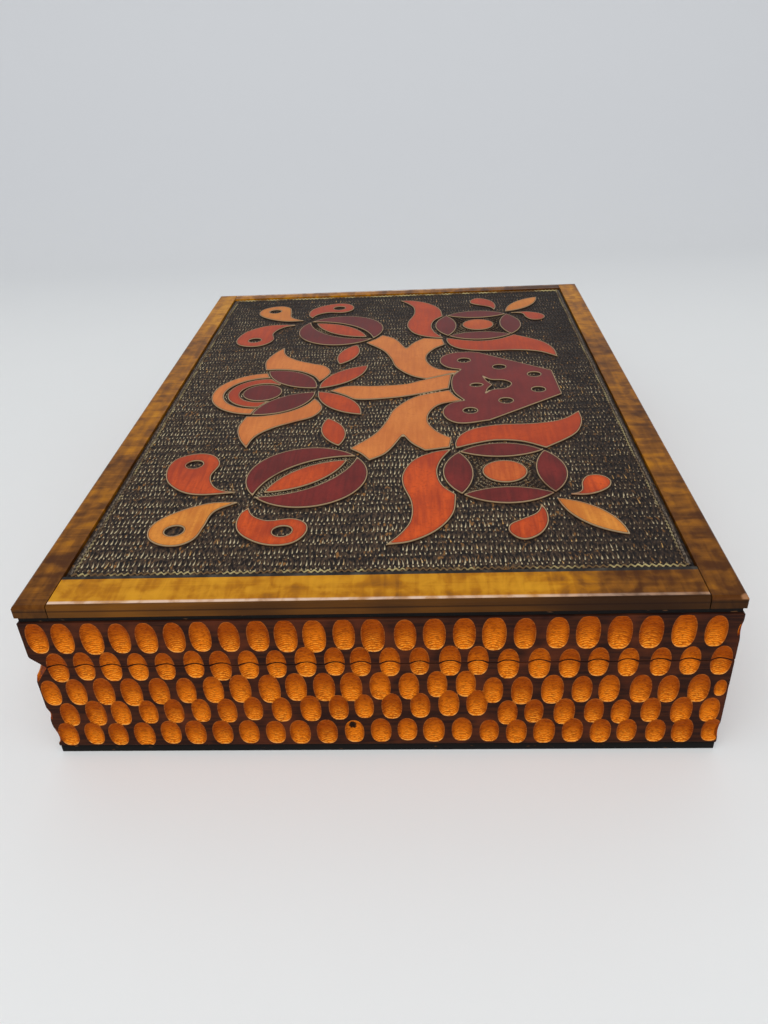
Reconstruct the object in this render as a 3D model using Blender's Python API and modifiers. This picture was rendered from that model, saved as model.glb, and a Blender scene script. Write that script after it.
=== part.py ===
"""Carved wooden trinket box: a mitred box with a hinged lid, a framed lid panel and brass hinges.

Units are metres and +Z is up. The origin is the middle of the underside. X is the long way of the
box, the front is at -Y and the hinges are at the back, at +Y. Names with near and far mean the -X
and +X ends. The lid's pieces hang from an empty on the hinge line, so turning it about X opens it.
"""

import math
import random

import bmesh
import bpy
from mathutils import Matrix, Vector
from mathutils.geometry import interpolate_bezier

# Outer size of the box, across its walls and its lid frame.
BOX_LENGTH = 0.285
BOX_WIDTH = 0.200

# Boards, from the ground up.
BASE_PLATE_THICKNESS = 0.0026
BASE_PLATE_INSET = 0.0008
BASE_PLATE_ROUND = 0.0008
BASE_WALL_HEIGHT = 0.0320
LID_WALL_HEIGHT = 0.0161
WALL_THICKNESS = 0.0090
BACKING_THICKNESS = 0.0014
BACKING_INSET = 0.0007
RAIL_THICKNESS = 0.0040
RAIL_ROUND = 0.0008
LONG_RAIL_WIDTH = 0.0096
NEAR_RAIL_WIDTH = 0.0139
FAR_RAIL_WIDTH = 0.0074
PANEL_SINK = 0.0002

# Clearances: glued joints, the seam between lid and base, and the metal fits.
JOINT_GAP = 0.0003
SEAM_GAP = 0.0003
PIN_CLEARANCE = 0.00015
SCREW_CLEARANCE = 0.0002
CUT_OVERRUN = 0.0020
WELD_DISTANCE = 0.00001

# Brass butt hinges, let into the back walls with their barrels half proud.
HINGE_SPACING = 0.160
HINGE_LENGTH = 0.025
LEAF_REACH = 0.0075
LEAF_THICKNESS = 0.0009
BARREL_RADIUS = 0.0017
PIN_RADIUS = 0.0008
PIN_OVERHANG = 0.0003
PIN_INSET = 0.0006
SCREW_HEAD_RADIUS = 0.0015
SCREW_SHANK_RADIUS = 0.0008
SCREW_LENGTH = 0.0075
SCREW_TIP_LENGTH = 0.0018
SCREW_END_DISTANCE = 0.0050
SCREW_SETBACK = 0.0046

# The eased back arrises meet when the lid is this far open, and the joint stops just short.
LID_STOP_DEGREES = 112.0

# Gouge cuts. Their rows run round the box as it stood before the lid was sawn off.
GOUGE_PITCH = 0.0083
GOUGE_DEPTH = 0.0013
GOUGE_FLARE = 0.0002
GOUGE_STRAY = 0.0002
CORNER_CUT_DEPTH = 0.0011
CORNER_CUT_STANDOFF = 0.0015
NOTCH_DEPTH = 0.0032
NOTCH_RISE = 0.0040
NOTCH_FALL = 0.0060

# Rows of cuts from the top down. Each gives the height of its middle and the height of one cut, as
# shares of the carved height, then a cut's width and the distances of the first and the last cut
# from the wall's ends, as shares of the pitch.
GOUGE_ROW_SHARES = (
    (0.868, 0.236, 0.87, 0.37, 0.73),
    (0.663, 0.224, 0.83, 0.83, 0.35),
    (0.472, 0.214, 0.83, 0.33, 1.00),
    (0.275, 0.200, 0.81, 0.75, 0.40),
    (0.105, 0.190, 0.81, 0.40, 0.22),
)

# The two low points along a cut, lower then upper, as shares of half its height.
KEEL_SHARES = (-0.35, 0.15)

# A small cut fills the third row out at its end: its row, its distance from the wall's end as a
# share of the pitch, and its size as a share of the row's other cuts.
SMALL_CUT_ROW = 2
SMALL_CUT_PLACE_SHARE = 0.22
SMALL_CUT_SIZE_SHARE = 0.55

# Rows with a cut across the corner, at each wall's right-hand end as seen from outside.
CORNER_CUT_ROWS = {"front": (1, 3), "right": (1, 3), "back": (3,), "left": (0,)}

# Relief of the lid panel: islands left standing above a sunk ground.
RELIEF_DEPTH = 0.0007
OUTLINE_INSET = 0.0003
LONGEST_TIP_SHARE = 2.0

# The relief is drawn for an opening between the rails that is one unit wide and this share of it
# long. The drawing is then laid over the real opening, and its radii are shares of the width.
DRAWN_LENGTH_SHARE = 1.4585
FRUIT_RADIUS_SHARE = 0.1178
FLOWER_EYE_SHARE = 0.0434
DROP_HOLE_SHARE = 0.0171
VASE_HOLE_SHARE = 0.0155
RING_DISC_SHARE = 0.0470
INNER_RING_SHARES = (0.0525, 0.0824)
OUTER_RING_SHARES = (0.0885, 0.1195)
RING_END_DEGREES = 50.0

# Places in the drawing are shares of the opening: across it from the back rail, then along it from
# the near rail. Paired motifs are repeated beyond the panel's middle line, which starts at one
# share of its length and leans by another over its width.
MIDDLE_SHARE = 0.499
MIDDLE_LEAN_SHARE = 0.009

# Bulge of a half circle, and of a quarter circle, as shares of the chord.
HALF_CIRCLE_SHARE = 0.5
QUARTER_CIRCLE_SHARE = (math.sqrt(2) - 1) / 2

# Leaf shapes: their two tips, then the bulge on the left and right of the way from the first tip
# to the second, as shares of the distance between them.
PAIRED_LEAF_SHARES = (
    ((0.8159, 0.1491), (0.9202, 0.0653), 0.182, 0.162),
    ((0.3734, 0.3950), (0.4089, 0.3022), 0.194, 0.182),
    ((0.3365, 0.4953), (0.4472, 0.4044), 0.186, 0.186),
)
RING_LEAF_SHARES = ((0.3324, 0.4940), (0.2007, 0.4138), 0.243, 0.196)
FRUIT_CENTRE_SHARE = (0.3575, 0.2189)
FRUIT_TILT_DEGREES = 39.5
FRUIT_BAND_BULGE_SHARES = (0.202, 0.185)
FRUIT_SEED_LENGTH_SHARE = 0.822
FRUIT_SEED_BULGE_SHARE = 0.169
FLOWER_CENTRE_SHARE = (0.7337, 0.2193)
FLOWER_SEGMENT_BULGE_SHARE = 0.153
RING_CENTRE_SHARE = (0.2065, 0.4970)
PAIRED_HOLE_SHARES = ((0.1274, 0.2572), (0.1480, 0.0911), (0.3371, 0.0860))
VASE_HOLE_SHARES = (
    (0.6833, 0.4079),
    (0.7648, 0.4405),
    (0.8430, 0.4797),
    (0.8437, 0.5412),
    (0.7660, 0.5770),
    (0.6830, 0.6110),
)

# Traced outlines. Each is closed and made of smooth runs, and each run starts at a corner.
UPPER_DROP_SHARES = (
    (
        (0.2400, 0.1790),
        (0.1950, 0.1900),
        (0.1725, 0.2220),
        (0.1795, 0.2580),
        (0.1580, 0.2840),
        (0.1200, 0.2895),
        (0.0830, 0.2740),
        (0.0760, 0.2400),
        (0.0960, 0.2030),
        (0.1500, 0.1760),
    ),
)
LOWER_DROP_SHARES = (
    (
        (0.2480, 0.1560),
        (0.1900, 0.1545),
        (0.1350, 0.1340),
        (0.1030, 0.1070),
        (0.1040, 0.0790),
        (0.1300, 0.0615),
        (0.1650, 0.0585),
        (0.1900, 0.0720),
        (0.1990, 0.1000),
        (0.2080, 0.1340),
    ),
)
MIDDLE_DROP_SHARES = (
    (
        (0.2655, 0.1430),
        (0.2520, 0.1250),
        (0.2535, 0.0950),
        (0.2750, 0.0730),
        (0.3180, 0.0565),
        (0.3580, 0.0590),
        (0.3800, 0.0790),
        (0.3775, 0.1020),
        (0.3500, 0.1145),
        (0.3080, 0.1110),
        (0.2800, 0.1220),
    ),
)
FLOWER_SIDE_PETAL_SHARES = (
    (
        (0.6382, 0.2856),
        (0.5980, 0.2770),
        (0.5600, 0.2560),
        (0.5400, 0.2200),
        (0.5400, 0.1900),
        (0.5560, 0.1450),
        (0.5555, 0.1050),
        (0.5395, 0.0771),
    ),
    ((0.5145, 0.0524), (0.5600, 0.0590), (0.6040, 0.0820), (0.6330, 0.1180)),
    ((0.6404, 0.1620), (0.6163, 0.1867), (0.6078, 0.2211), (0.6163, 0.2534)),
)
FLOWER_TOP_PETAL_SHARES = (
    (
        (0.6438, 0.2858),
        (0.6438, 0.3034),
        (0.6550, 0.3270),
        (0.6850, 0.3470),
        (0.7400, 0.3580),
        (0.8107, 0.3592),
        (0.8700, 0.3700),
    ),
    ((0.9152, 0.3990), (0.9133, 0.3613), (0.8900, 0.3220)),
    ((0.8235, 0.2813), (0.7800, 0.3015), (0.7300, 0.3077), (0.6850, 0.2990)),
)
LOW_SMALL_DROP_SHARES = (
    (
        (0.7871, 0.1394),
        (0.7745, 0.1169),
        (0.7463, 0.1029),
        (0.7240, 0.0905),
        (0.7225, 0.0735),
        (0.7430, 0.0590),
        (0.7700, 0.0665),
        (0.7900, 0.0880),
        (0.7950, 0.1150),
    ),
)
RIGHT_SMALL_DROP_SHARES = (
    (
        (0.8294, 0.1577),
        (0.8600, 0.1640),
        (0.8679, 0.1867),
        (0.8826, 0.2028),
        (0.9090, 0.2035),
        (0.9234, 0.1880),
        (0.9124, 0.1695),
        (0.8748, 0.1555),
    ),
)
RING_PETAL_SHARES = (
    ((0.2190, 0.3003), (0.1944, 0.3331), (0.1820, 0.3700)),
    ((0.1903, 0.4081), (0.2300, 0.4090), (0.2780, 0.4200), (0.3150, 0.4430)),
    (
        (0.3338, 0.4700),
        (0.3500, 0.4500),
        (0.3575, 0.4269),
        (0.3400, 0.4003),
        (0.3023, 0.3847),
        (0.2600, 0.3650),
        (0.2300, 0.3388),
    ),
)
BRANCH_SHARES = (
    ((0.6695, 0.4455), (0.6540, 0.4640)),
    (
        (0.6420, 0.4870),
        (0.5760, 0.4700),
        (0.5450, 0.4520),
        (0.5137, 0.4166),
        (0.5000, 0.3780),
        (0.4780, 0.3370),
    ),
    ((0.4310, 0.2935), (0.4540, 0.2780)),
    ((0.4735, 0.2565), (0.5080, 0.2780)),
    ((0.5390, 0.3300), (0.5560, 0.3050)),
    ((0.5833, 0.2820),),
    ((0.6347, 0.2900),),
    (
        (0.6402, 0.3185),
        (0.6127, 0.3386),
        (0.5930, 0.3713),
        (0.5962, 0.4040),
        (0.6200, 0.4330),
    ),
)
STEM_SHARES = (
    ((0.3638, 0.4972), (0.4000, 0.5141), (0.4700, 0.5118), (0.5400, 0.5160), (0.5760, 0.5290)),
    ((0.6520, 0.5540), (0.6470, 0.5250)),
    ((0.6420, 0.4935), (0.5760, 0.4745), (0.5100, 0.4624), (0.4300, 0.4600), (0.4000, 0.4780)),
)
VASE_SHARES = (
    ((0.6713, 0.4455), (0.6400, 0.4355), (0.6226, 0.4110), (0.6300, 0.3810), (0.6600, 0.3645)),
    ((0.7227, 0.3726),),
    ((0.8932, 0.4606),),
    ((0.8890, 0.5560),),
    ((0.7227, 0.6460),),
    ((0.7000, 0.6505), (0.6600, 0.6485), (0.6300, 0.6330), (0.6226, 0.6060), (0.6400, 0.5815)),
    ((0.6713, 0.5700), (0.6510, 0.5420), (0.6457, 0.5070), (0.6510, 0.4760)),
)
TULIP_SHARES = (
    ((0.7227, 0.5390), (0.7290, 0.5200)),
    ((0.7410, 0.5034), (0.7290, 0.4880)),
    (
        (0.7227, 0.4694),
        (0.7400, 0.4830),
        (0.7700, 0.4880),
        (0.7850, 0.5060),
        (0.7700, 0.5210),
        (0.7400, 0.5250),
    ),
)
TULIP_BUD_SHARES = ((0.6897, 0.5030), (0.7200, 0.5040), 0.35, 0.35)

# Facets and the seed of the hand-made irregularity.
BARREL_SIDES = 12
SCREW_SIDES = 8
ROUND_SEGMENTS = 2
GOUGE_SIDES = 8
CIRCLE_SIDES = 20
HOLE_SIDES = 8
ARC_STEPS = 6
RUN_STEPS = 2
CARVER_SEED = 7

# Heights, worked out from the boards.
BASE_WALL_BOTTOM = BASE_PLATE_THICKNESS + JOINT_GAP
BASE_WALL_TOP = BASE_WALL_BOTTOM + BASE_WALL_HEIGHT
LID_WALL_BOTTOM = BASE_WALL_TOP + SEAM_GAP
LID_WALL_TOP = LID_WALL_BOTTOM + LID_WALL_HEIGHT
BACKING_BOTTOM = LID_WALL_TOP + JOINT_GAP
BACKING_TOP = BACKING_BOTTOM + BACKING_THICKNESS
RAIL_BOTTOM = BACKING_TOP + JOINT_GAP

# The hinge line, and how far each screw stands from the middle of its hinge.
SCREW_OFFSET = HINGE_LENGTH / 2 - SCREW_END_DISTANCE
PIN_Y = BOX_WIDTH / 2 - PIN_INSET
PIN_Z = BASE_WALL_TOP + SEAM_GAP / 2
HINGE_LINE = Vector((0, PIN_Y, PIN_Z))

# Finishes: colour, roughness and metallic value.
CARVED_WALL = ((0.078, 0.028, 0.018), 0.45, 0.0)
BORDER_WOOD = ((0.300, 0.130, 0.022), 0.30, 0.0)
BLACK_BOARD = ((0.010, 0.009, 0.009), 0.50, 0.0)
CARVED_PANEL = ((0.060, 0.028, 0.018), 0.60, 0.0)
BRASS = ((0.560, 0.380, 0.130), 0.35, 1.0)

# Sides of the box: name, turn of the wall about +Z, whether it runs the long way.
SIDES = (
    ("front", 0.0, True),
    ("right", math.radians(90), False),
    ("back", math.radians(180), True),
    ("left", math.radians(270), False),
)


def clear_scene():
    """Take every object out of the scene."""
    for item in list(bpy.data.objects):
        bpy.data.objects.remove(item, do_unlink=True)


def make_collection(name):
    """Return a new collection under the scene's own."""
    collection = bpy.data.collections.new(name)
    bpy.context.scene.collection.children.link(collection)
    return collection


def make_material(name, finish):
    """Return a Principled material with a finish's colour, roughness and metallic value."""
    colour, roughness, metallic = finish
    material = bpy.data.materials.new(name)
    material.use_nodes = True
    shader = material.node_tree.nodes["Principled BSDF"]
    shader.inputs["Base Color"].default_value = (*colour, 1.0)
    shader.inputs["Roughness"].default_value = roughness
    shader.inputs["Metallic"].default_value = metallic
    material.diffuse_color = (*colour, 1.0)
    return material


class Shop:
    """Holds the two collections and the empty that the lid hangs from."""

    def __init__(self):
        self.parts = make_collection("carved_trinket_box")
        self.cutters = make_collection("cutters")
        self.lid_axis = bpy.data.objects.new("lid_hinge_line", None)
        self.lid_axis.location = HINGE_LINE
        self.parts.objects.link(self.lid_axis)

    def add(self, name, bm, finish, place, on_lid, turn=0.0):
        """Make a part from a bmesh, at a place in the world and turned about +Z."""
        mesh = bpy.data.meshes.new(name)
        bm.to_mesh(mesh)
        bm.free()
        part = bpy.data.objects.new(name, mesh)
        part.location = place
        part.rotation_euler = (0, 0, turn)
        if on_lid:
            part.parent = self.lid_axis
            part.location = place - HINGE_LINE
        mesh.materials.append(make_material(name, finish))
        self.parts.objects.link(part)
        return part

    def add_cutter(self, name, bm, place, rotation=(0, 0, 0)):
        """Make a cutter from a bmesh, hidden from renders and drawn as wire."""
        mesh = bpy.data.meshes.new(name)
        bm.to_mesh(mesh)
        bm.free()
        cutter = bpy.data.objects.new(name, mesh)
        cutter.location = place
        cutter.rotation_euler = rotation
        cutter.hide_render = True
        cutter.display_type = "WIRE"
        self.cutters.objects.link(cutter)
        return cutter


def block(size):
    """Return a bmesh box of a size, centred on its origin."""
    bm = bmesh.new()
    bmesh.ops.create_cube(bm, size=1.0)
    bmesh.ops.scale(bm, vec=size, verts=bm.verts)
    return bm


def rod(radius, length, sides, end_radius=None):
    """Return a bmesh rod or cone along its own Z, centred on its origin, with smooth sides."""
    bm = bmesh.new()
    bmesh.ops.create_cone(
        bm,
        cap_ends=True,
        segments=sides,
        radius1=radius,
        radius2=radius if end_radius is None else end_radius,
        depth=length,
    )
    for face in bm.faces:
        face.smooth = len(face.verts) < sides
    return bm


def combine(part, other, operation):
    """Add an exact Boolean of another object to a part."""
    modifier = part.modifiers.new(other.name, "BOOLEAN")
    modifier.operation = operation
    modifier.solver = "EXACT"
    modifier.object = other


def cut(part, cutter):
    """Cut a part with a cutter."""
    combine(part, cutter, "DIFFERENCE")


def join(part, piece):
    """Join a hidden piece to a part."""
    combine(part, piece, "UNION")


def saw(bm, point, normal):
    """Saw off what lies on a plane's positive side, and close the cut."""
    geometry = list(bm.verts) + list(bm.edges) + list(bm.faces)
    result = bmesh.ops.bisect_plane(
        bm, geom=geometry, dist=WELD_DISTANCE, plane_co=point, plane_no=normal, clear_outer=True
    )
    edges = [item for item in result["geom_cut"] if isinstance(item, bmesh.types.BMEdge)]
    bmesh.ops.holes_fill(bm, edges=edges, sides=0)
    bmesh.ops.recalc_face_normals(bm, faces=bm.faces)


def round_edges(part, width, chosen):
    """Round the edges of a part's mesh that a test picks, by a bevel weight and a Bevel modifier."""
    mesh = part.data
    weights = mesh.attributes.new("bevel_weight_edge", "FLOAT", "EDGE")
    for edge in mesh.edges:
        ends = [mesh.vertices[index].co for index in edge.vertices]
        weights.data[edge.index].value = 1.0 if chosen(ends) else 0.0
    bevel = part.modifiers.new("round", "BEVEL")
    bevel.limit_method = "WEIGHT"
    bevel.width = width
    bevel.segments = ROUND_SEGMENTS


def wall_bmesh(length, height):
    """Return a mitred wall: outer face on local y = 0, lower edge on local z = 0."""
    bm = block((length, WALL_THICKNESS, height))
    bmesh.ops.translate(bm, vec=(0, WALL_THICKNESS / 2, height / 2), verts=bm.verts)
    half_gap = JOINT_GAP / 2
    for sign in (-1, 1):
        normal = Vector((sign, 1, 0)).normalized()
        corner = Vector((sign * length / 2, 0, 0))
        saw(bm, corner - normal * half_gap, normal)
    return bm


def ease_back_edge(bm, place, turn, on_lid):
    """Plane the back arris beside the seam off a wall, on a plane through the hinge line.

    The plane runs across the back wall and the ends of the side walls alike, as one stroke would.
    """
    angle = math.radians(LID_STOP_DEGREES / 2)
    normal = Vector((0, math.sin(angle), -math.cos(angle) if on_lid else math.cos(angle)))
    to_wall = Matrix.Rotation(-turn, 3, "Z")
    saw(bm, to_wall @ (HINGE_LINE - place), to_wall @ normal)


def wall_place(turn, runs_long, bottom):
    """Return the world place of a wall's outer face, in the middle of its length."""
    reach = BOX_WIDTH / 2 if runs_long else BOX_LENGTH / 2
    outward = Matrix.Rotation(turn, 3, "Z") @ Vector((0, -reach, 0))
    return outward + Vector((0, 0, bottom))


def make_walls(shop, prefix, bottom, height, on_lid):
    """Make the four mitred walls of the lid or the base."""
    walls = {}
    for side, turn, runs_long in SIDES:
        length = BOX_LENGTH if runs_long else BOX_WIDTH
        bm = wall_bmesh(length, height)
        place = wall_place(turn, runs_long, bottom)
        if side != "front":
            ease_back_edge(bm, place, turn, on_lid)
        walls[side] = shop.add(f"{prefix}_wall_{side}", bm, CARVED_WALL, place, on_lid, turn)
    return walls


def add_scoop(bm, matrix, half_width, half_height, depth):
    """Add a boat-shaped cutter to a bmesh: rim on the matrix's XZ plane, low points along +Y.

    The sides run on past the rim by the flare, so that no face of the cutter lies on the wood's.
    """
    reach = 1 + GOUGE_FLARE / depth
    keels = [Vector((0, depth, share * half_height)) for share in KEEL_SHARES]
    rim = []
    for number in range(GOUGE_SIDES):
        angle = math.tau * (number + 0.5) / GOUGE_SIDES
        rim.append(Vector((half_width * math.cos(angle), 0, half_height * math.sin(angle))))
    above = [point.z > 0 for point in rim]
    ring = []
    for point, upper in zip(rim, above):
        ring.append(bm.verts.new(matrix @ (keels[upper] + (point - keels[upper]) * reach)))
    low_points = [bm.verts.new(matrix @ keel) for keel in keels]
    bm.faces.new(ring)
    for number, upper in enumerate(above):
        after = (number + 1) % GOUGE_SIDES
        ends = [low_points[above[after]]]
        if above[after] != upper:
            ends.append(low_points[upper])
        bm.faces.new((ring[number], ring[after], *ends)).smooth = True


def row_places(length, first_share, last_share):
    """Return the places of a row's cuts along a wall, from the wall's middle."""
    low = first_share * GOUGE_PITCH - length / 2
    high = length / 2 - last_share * GOUGE_PITCH
    steps = round((high - low) / GOUGE_PITCH)
    return [low + (high - low) * number / steps for number in range(steps + 1)]


def wall_scoops(side, length, chance):
    """Return the cutter meshes of one wall by group, in the wall's own axes.

    The groups are the cuts inside the wall, those that break over its right-hand corner, each by
    odd and even rows, and the cuts across that corner. No two cutters in a group touch.
    """
    names = ("inside_odd", "inside_even", "over_odd", "over_even", "corner")
    groups = {name: bmesh.new() for name in names}
    carved = LID_WALL_TOP - BASE_WALL_BOTTOM
    for row, shares in enumerate(GOUGE_ROW_SHARES):
        height_share, tall_share, wide_share, first_share, last_share = shares
        height = height_share * carved
        half_width = wide_share * GOUGE_PITCH / 2
        half_height = tall_share * carved / 2
        cuts = [(place, 1.0) for place in row_places(length, first_share, last_share)]
        if row == SMALL_CUT_ROW:
            cuts.append((length / 2 - SMALL_CUT_PLACE_SHARE * GOUGE_PITCH, SMALL_CUT_SIZE_SHARE))
        for place, size in cuts:
            x = place + chance.uniform(-GOUGE_STRAY, GOUGE_STRAY)
            z = height + chance.uniform(-GOUGE_STRAY, GOUGE_STRAY)
            reach = "over" if x + size * half_width > length / 2 - GOUGE_FLARE else "inside"
            name = f"{reach}_{('odd', 'even')[row % 2]}"
            matrix = Matrix.Translation((x, 0, z))
            add_scoop(groups[name], matrix, size * half_width, size * half_height, size * GOUGE_DEPTH)
        if row in CORNER_CUT_ROWS[side]:
            outward = Vector((1, -1, 0)).normalized() * CORNER_CUT_STANDOFF
            corner = Vector((length / 2, 0, height)) + outward
            matrix = Matrix.Translation(corner) @ Matrix.Rotation(math.radians(45), 4, "Z")
            depth = CORNER_CUT_STANDOFF + CORNER_CUT_DEPTH
            add_scoop(groups["corner"], matrix, half_width, half_height, depth)
    return groups


def notch_bmesh():
    """Return a wedge that cuts a corner, its edge along X at its origin's depth along +Y."""
    bm = bmesh.new()
    outside = 1 + CUT_OVERRUN / NOTCH_DEPTH
    profile = (
        (NOTCH_DEPTH, 0),
        (-CUT_OVERRUN, outside * NOTCH_RISE),
        (-CUT_OVERRUN, -outside * NOTCH_FALL),
    )
    half = NOTCH_DEPTH + 2 * CUT_OVERRUN
    near, far = [[bm.verts.new((x, y, z)) for y, z in profile] for x in (-half, half)]
    bm.faces.new(near)
    bm.faces.new(far)
    for number in range(len(profile)):
        after = (number + 1) % len(profile)
        bm.faces.new((near[number], near[after], far[after], far[number]))
    bmesh.ops.recalc_face_normals(bm, faces=bm.faces)
    return bm


def carve_walls(shop, base_walls, lid_walls):
    """Carve the rows of cuts into the walls, across the seam and round the corners."""
    chance = random.Random(CARVER_SEED)
    for number, (side, turn, runs_long) in enumerate(SIDES):
        next_side = SIDES[(number + 1) % len(SIDES)][0]
        own = (base_walls[side], lid_walls[side])
        beside = (base_walls[next_side], lid_walls[next_side])
        place = wall_place(turn, runs_long, BASE_WALL_BOTTOM)
        length = BOX_LENGTH if runs_long else BOX_WIDTH
        for name, bm in wall_scoops(side, length, chance).items():
            if not bm.faces:
                bm.free()
                continue
            bmesh.ops.recalc_face_normals(bm, faces=bm.faces)
            cutter = shop.add_cutter(f"{side}_cuts_{name}", bm, place, (0, 0, turn))
            for wall in own if name.startswith("inside") else own + beside:
                cut(wall, cutter)
    corner = Vector((-BOX_LENGTH / 2, BOX_WIDTH / 2, PIN_Z))
    notch = shop.add_cutter("corner_notch", notch_bmesh(), corner, (0, 0, math.radians(225)))
    for side in ("back", "left"):
        cut(base_walls[side], notch)
        cut(lid_walls[side], notch)


def make_base_plate(shop):
    """Make the thin board under the base walls, rounded along its edge."""
    size = (
        BOX_LENGTH - 2 * BASE_PLATE_INSET,
        BOX_WIDTH - 2 * BASE_PLATE_INSET,
        BASE_PLATE_THICKNESS,
    )
    place = Vector((0, 0, BASE_PLATE_THICKNESS / 2))
    plate = shop.add("base_plate", block(size), BLACK_BOARD, place, False)
    round_edges(plate, BASE_PLATE_ROUND, lambda ends: True)
    return plate


def make_backing(shop):
    """Make the thin board that closes the lid walls and carries the frame and the panel."""
    size = (BOX_LENGTH - 2 * BACKING_INSET, BOX_WIDTH - 2 * BACKING_INSET, BACKING_THICKNESS)
    place = Vector((0, 0, BACKING_BOTTOM + BACKING_THICKNESS / 2))
    return shop.add("lid_backing", block(size), BLACK_BOARD, place, True)


def make_rail(shop, name, low_x, high_x, low_y, high_y, rounded):
    """Make one rail of the lid frame, rounded where its top meets an outer face."""
    size = Vector((high_x - low_x, high_y - low_y, RAIL_THICKNESS))
    place = Vector(((low_x + high_x) / 2, (low_y + high_y) / 2, RAIL_BOTTOM + RAIL_THICKNESS / 2))
    rail = shop.add(name, block(size), BORDER_WOOD, place, True)
    outward = [Vector(direction) for direction in rounded]

    def on_outer_top(ends):
        top = all(point.z > 0 for point in ends)
        return top and any(
            all(point.dot(way) > abs(size.dot(way)) / 2 - WELD_DISTANCE for point in ends) for way in outward
        )

    round_edges(rail, RAIL_ROUND, on_outer_top)
    return rail


def make_frame(shop):
    """Make the lid frame: long rails that run through, and short rails butted between them."""
    half_length = BOX_LENGTH / 2
    half_width = BOX_WIDTH / 2
    inner = half_width - LONG_RAIL_WIDTH
    ends = ((-1, 0, 0), (1, 0, 0))
    for word, sign in (("front", -1), ("back", 1)):
        low_y, high_y = sorted((sign * inner, sign * half_width))
        rounded = ((0, sign, 0), *ends)
        make_rail(shop, f"lid_rail_{word}", -half_length, half_length, low_y, high_y, rounded)
    short = inner - JOINT_GAP
    near = NEAR_RAIL_WIDTH - half_length
    far = half_length - FAR_RAIL_WIDTH
    make_rail(shop, "lid_rail_left", -half_length, near, -short, short, ((-1, 0, 0),))
    make_rail(shop, "lid_rail_right", far, half_length, -short, short, ((1, 0, 0),))


def drawn(share, mirrored=False):
    """Return a place in the drawing of the relief, from its shares, or its mirror image."""
    across, along = share
    if mirrored:
        along = 2 * (MIDDLE_SHARE + MIDDLE_LEAN_SHARE * across) - along
    return Vector((along * DRAWN_LENGTH_SHARE, -across))


def on_panel(outline):
    """Return an outline of the drawing as it lies on the panel, in the world."""
    length = BOX_LENGTH - NEAR_RAIL_WIDTH - FAR_RAIL_WIDTH
    width = BOX_WIDTH - 2 * LONG_RAIL_WIDTH
    corner = Vector((NEAR_RAIL_WIDTH - BOX_LENGTH / 2, width / 2))
    return [corner + Vector((point.x * length / DRAWN_LENGTH_SHARE, point.y * width)) for point in outline]


def smooth_outline(runs, mirrored=False):
    """Return a closed outline through the points of its runs, smooth but for each run's start."""
    points = [drawn(share, mirrored) for run in runs for share in run]
    corners = [number == 0 for run in runs for number in range(len(run))]
    count = len(points)
    outline = []
    for number, start in enumerate(points):
        end = points[(number + 1) % count]
        third = (end - start).length / 3
        start_way = end - start if corners[number] else end - points[number - 1]
        end_corner = corners[(number + 1) % count]
        end_way = end - start if end_corner else points[(number + 2) % count] - start
        first = start + start_way.normalized() * third
        second = end - end_way.normalized() * third
        outline.extend(interpolate_bezier(start, first, second, end, RUN_STEPS + 1)[:-1])
    return outline


def arc(start, end, bulge_share, steps=ARC_STEPS):
    """Return points of an arc up to its end, bulging to its left by a share of its chord."""
    half_angle = 2 * math.atan(2 * bulge_share)
    radius = 0.5 / math.sin(half_angle)
    forward = end - start
    left = Vector((-forward.y, forward.x))
    middle = (start + end) / 2
    points = []
    for number in range(steps):
        angle = half_angle * (1 - 2 * number / steps)
        rise = bulge_share - radius + radius * math.cos(angle)
        points.append(middle - forward * radius * math.sin(angle) + left * rise)
    return points


def leaf_outline(first_tip, second_tip, left_share, right_share, mirrored=False):
    """Return the outline of a leaf between two tips given as shares of the panel."""
    ends = [drawn(tip, mirrored) for tip in (first_tip, second_tip)]
    bulges = (right_share, left_share) if mirrored else (left_share, right_share)
    return arc(*ends, bulges[0]) + arc(*reversed(ends), bulges[1])


def circle(centre, radius, sides):
    """Return the outline of a circle."""
    turns = [math.tau * (number + 0.5) / sides for number in range(sides)]
    return [centre + Vector((math.cos(turn), math.sin(turn))) * radius for turn in turns]


def inset(outline, distance):
    """Return an outline moved inwards, with its sharp tips drawn back no more than twice as far."""
    steps = [after - point for point, after in zip(outline, outline[1:] + outline[:1])]
    turning = sum(steps[number - 1].cross(step) for number, step in enumerate(steps))
    inward = 1 if turning > 0 else -1
    moved = []
    for number, point in enumerate(outline):
        before = steps[number - 1].normalized()
        after = steps[number].normalized()
        first = Vector((-before.y, before.x)) * inward
        second = Vector((-after.y, after.x)) * inward
        bisector = (first + second).normalized()
        reach = min(LONGEST_TIP_SHARE, 1 / bisector.dot(first))
        moved.append(point + bisector * distance * reach)
    return moved


def fruit_outlines(mirrored):
    """Return the outlines of a round fruit: two crescents and the seed between them."""
    centre = drawn(FRUIT_CENTRE_SHARE, mirrored)
    tilt = math.radians(FRUIT_TILT_DEGREES - 90)
    reach = Vector((math.cos(tilt), math.sin(tilt))) * FRUIT_RADIUS_SHARE
    first_band, second_band = FRUIT_BAND_BULGE_SHARES
    if mirrored:
        reach.x = -reach.x
        first_band, second_band = second_band, first_band
    low = centre - reach
    high = centre + reach
    seed = reach * FRUIT_SEED_LENGTH_SHARE
    seed_ends = (centre - seed, centre + seed)
    return [
        arc(low, high, HALF_CIRCLE_SHARE, 2 * ARC_STEPS) + arc(high, low, -first_band),
        arc(high, low, HALF_CIRCLE_SHARE, 2 * ARC_STEPS) + arc(low, high, -second_band),
        arc(*seed_ends, FRUIT_SEED_BULGE_SHARE) + arc(*reversed(seed_ends), FRUIT_SEED_BULGE_SHARE),
    ]


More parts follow.
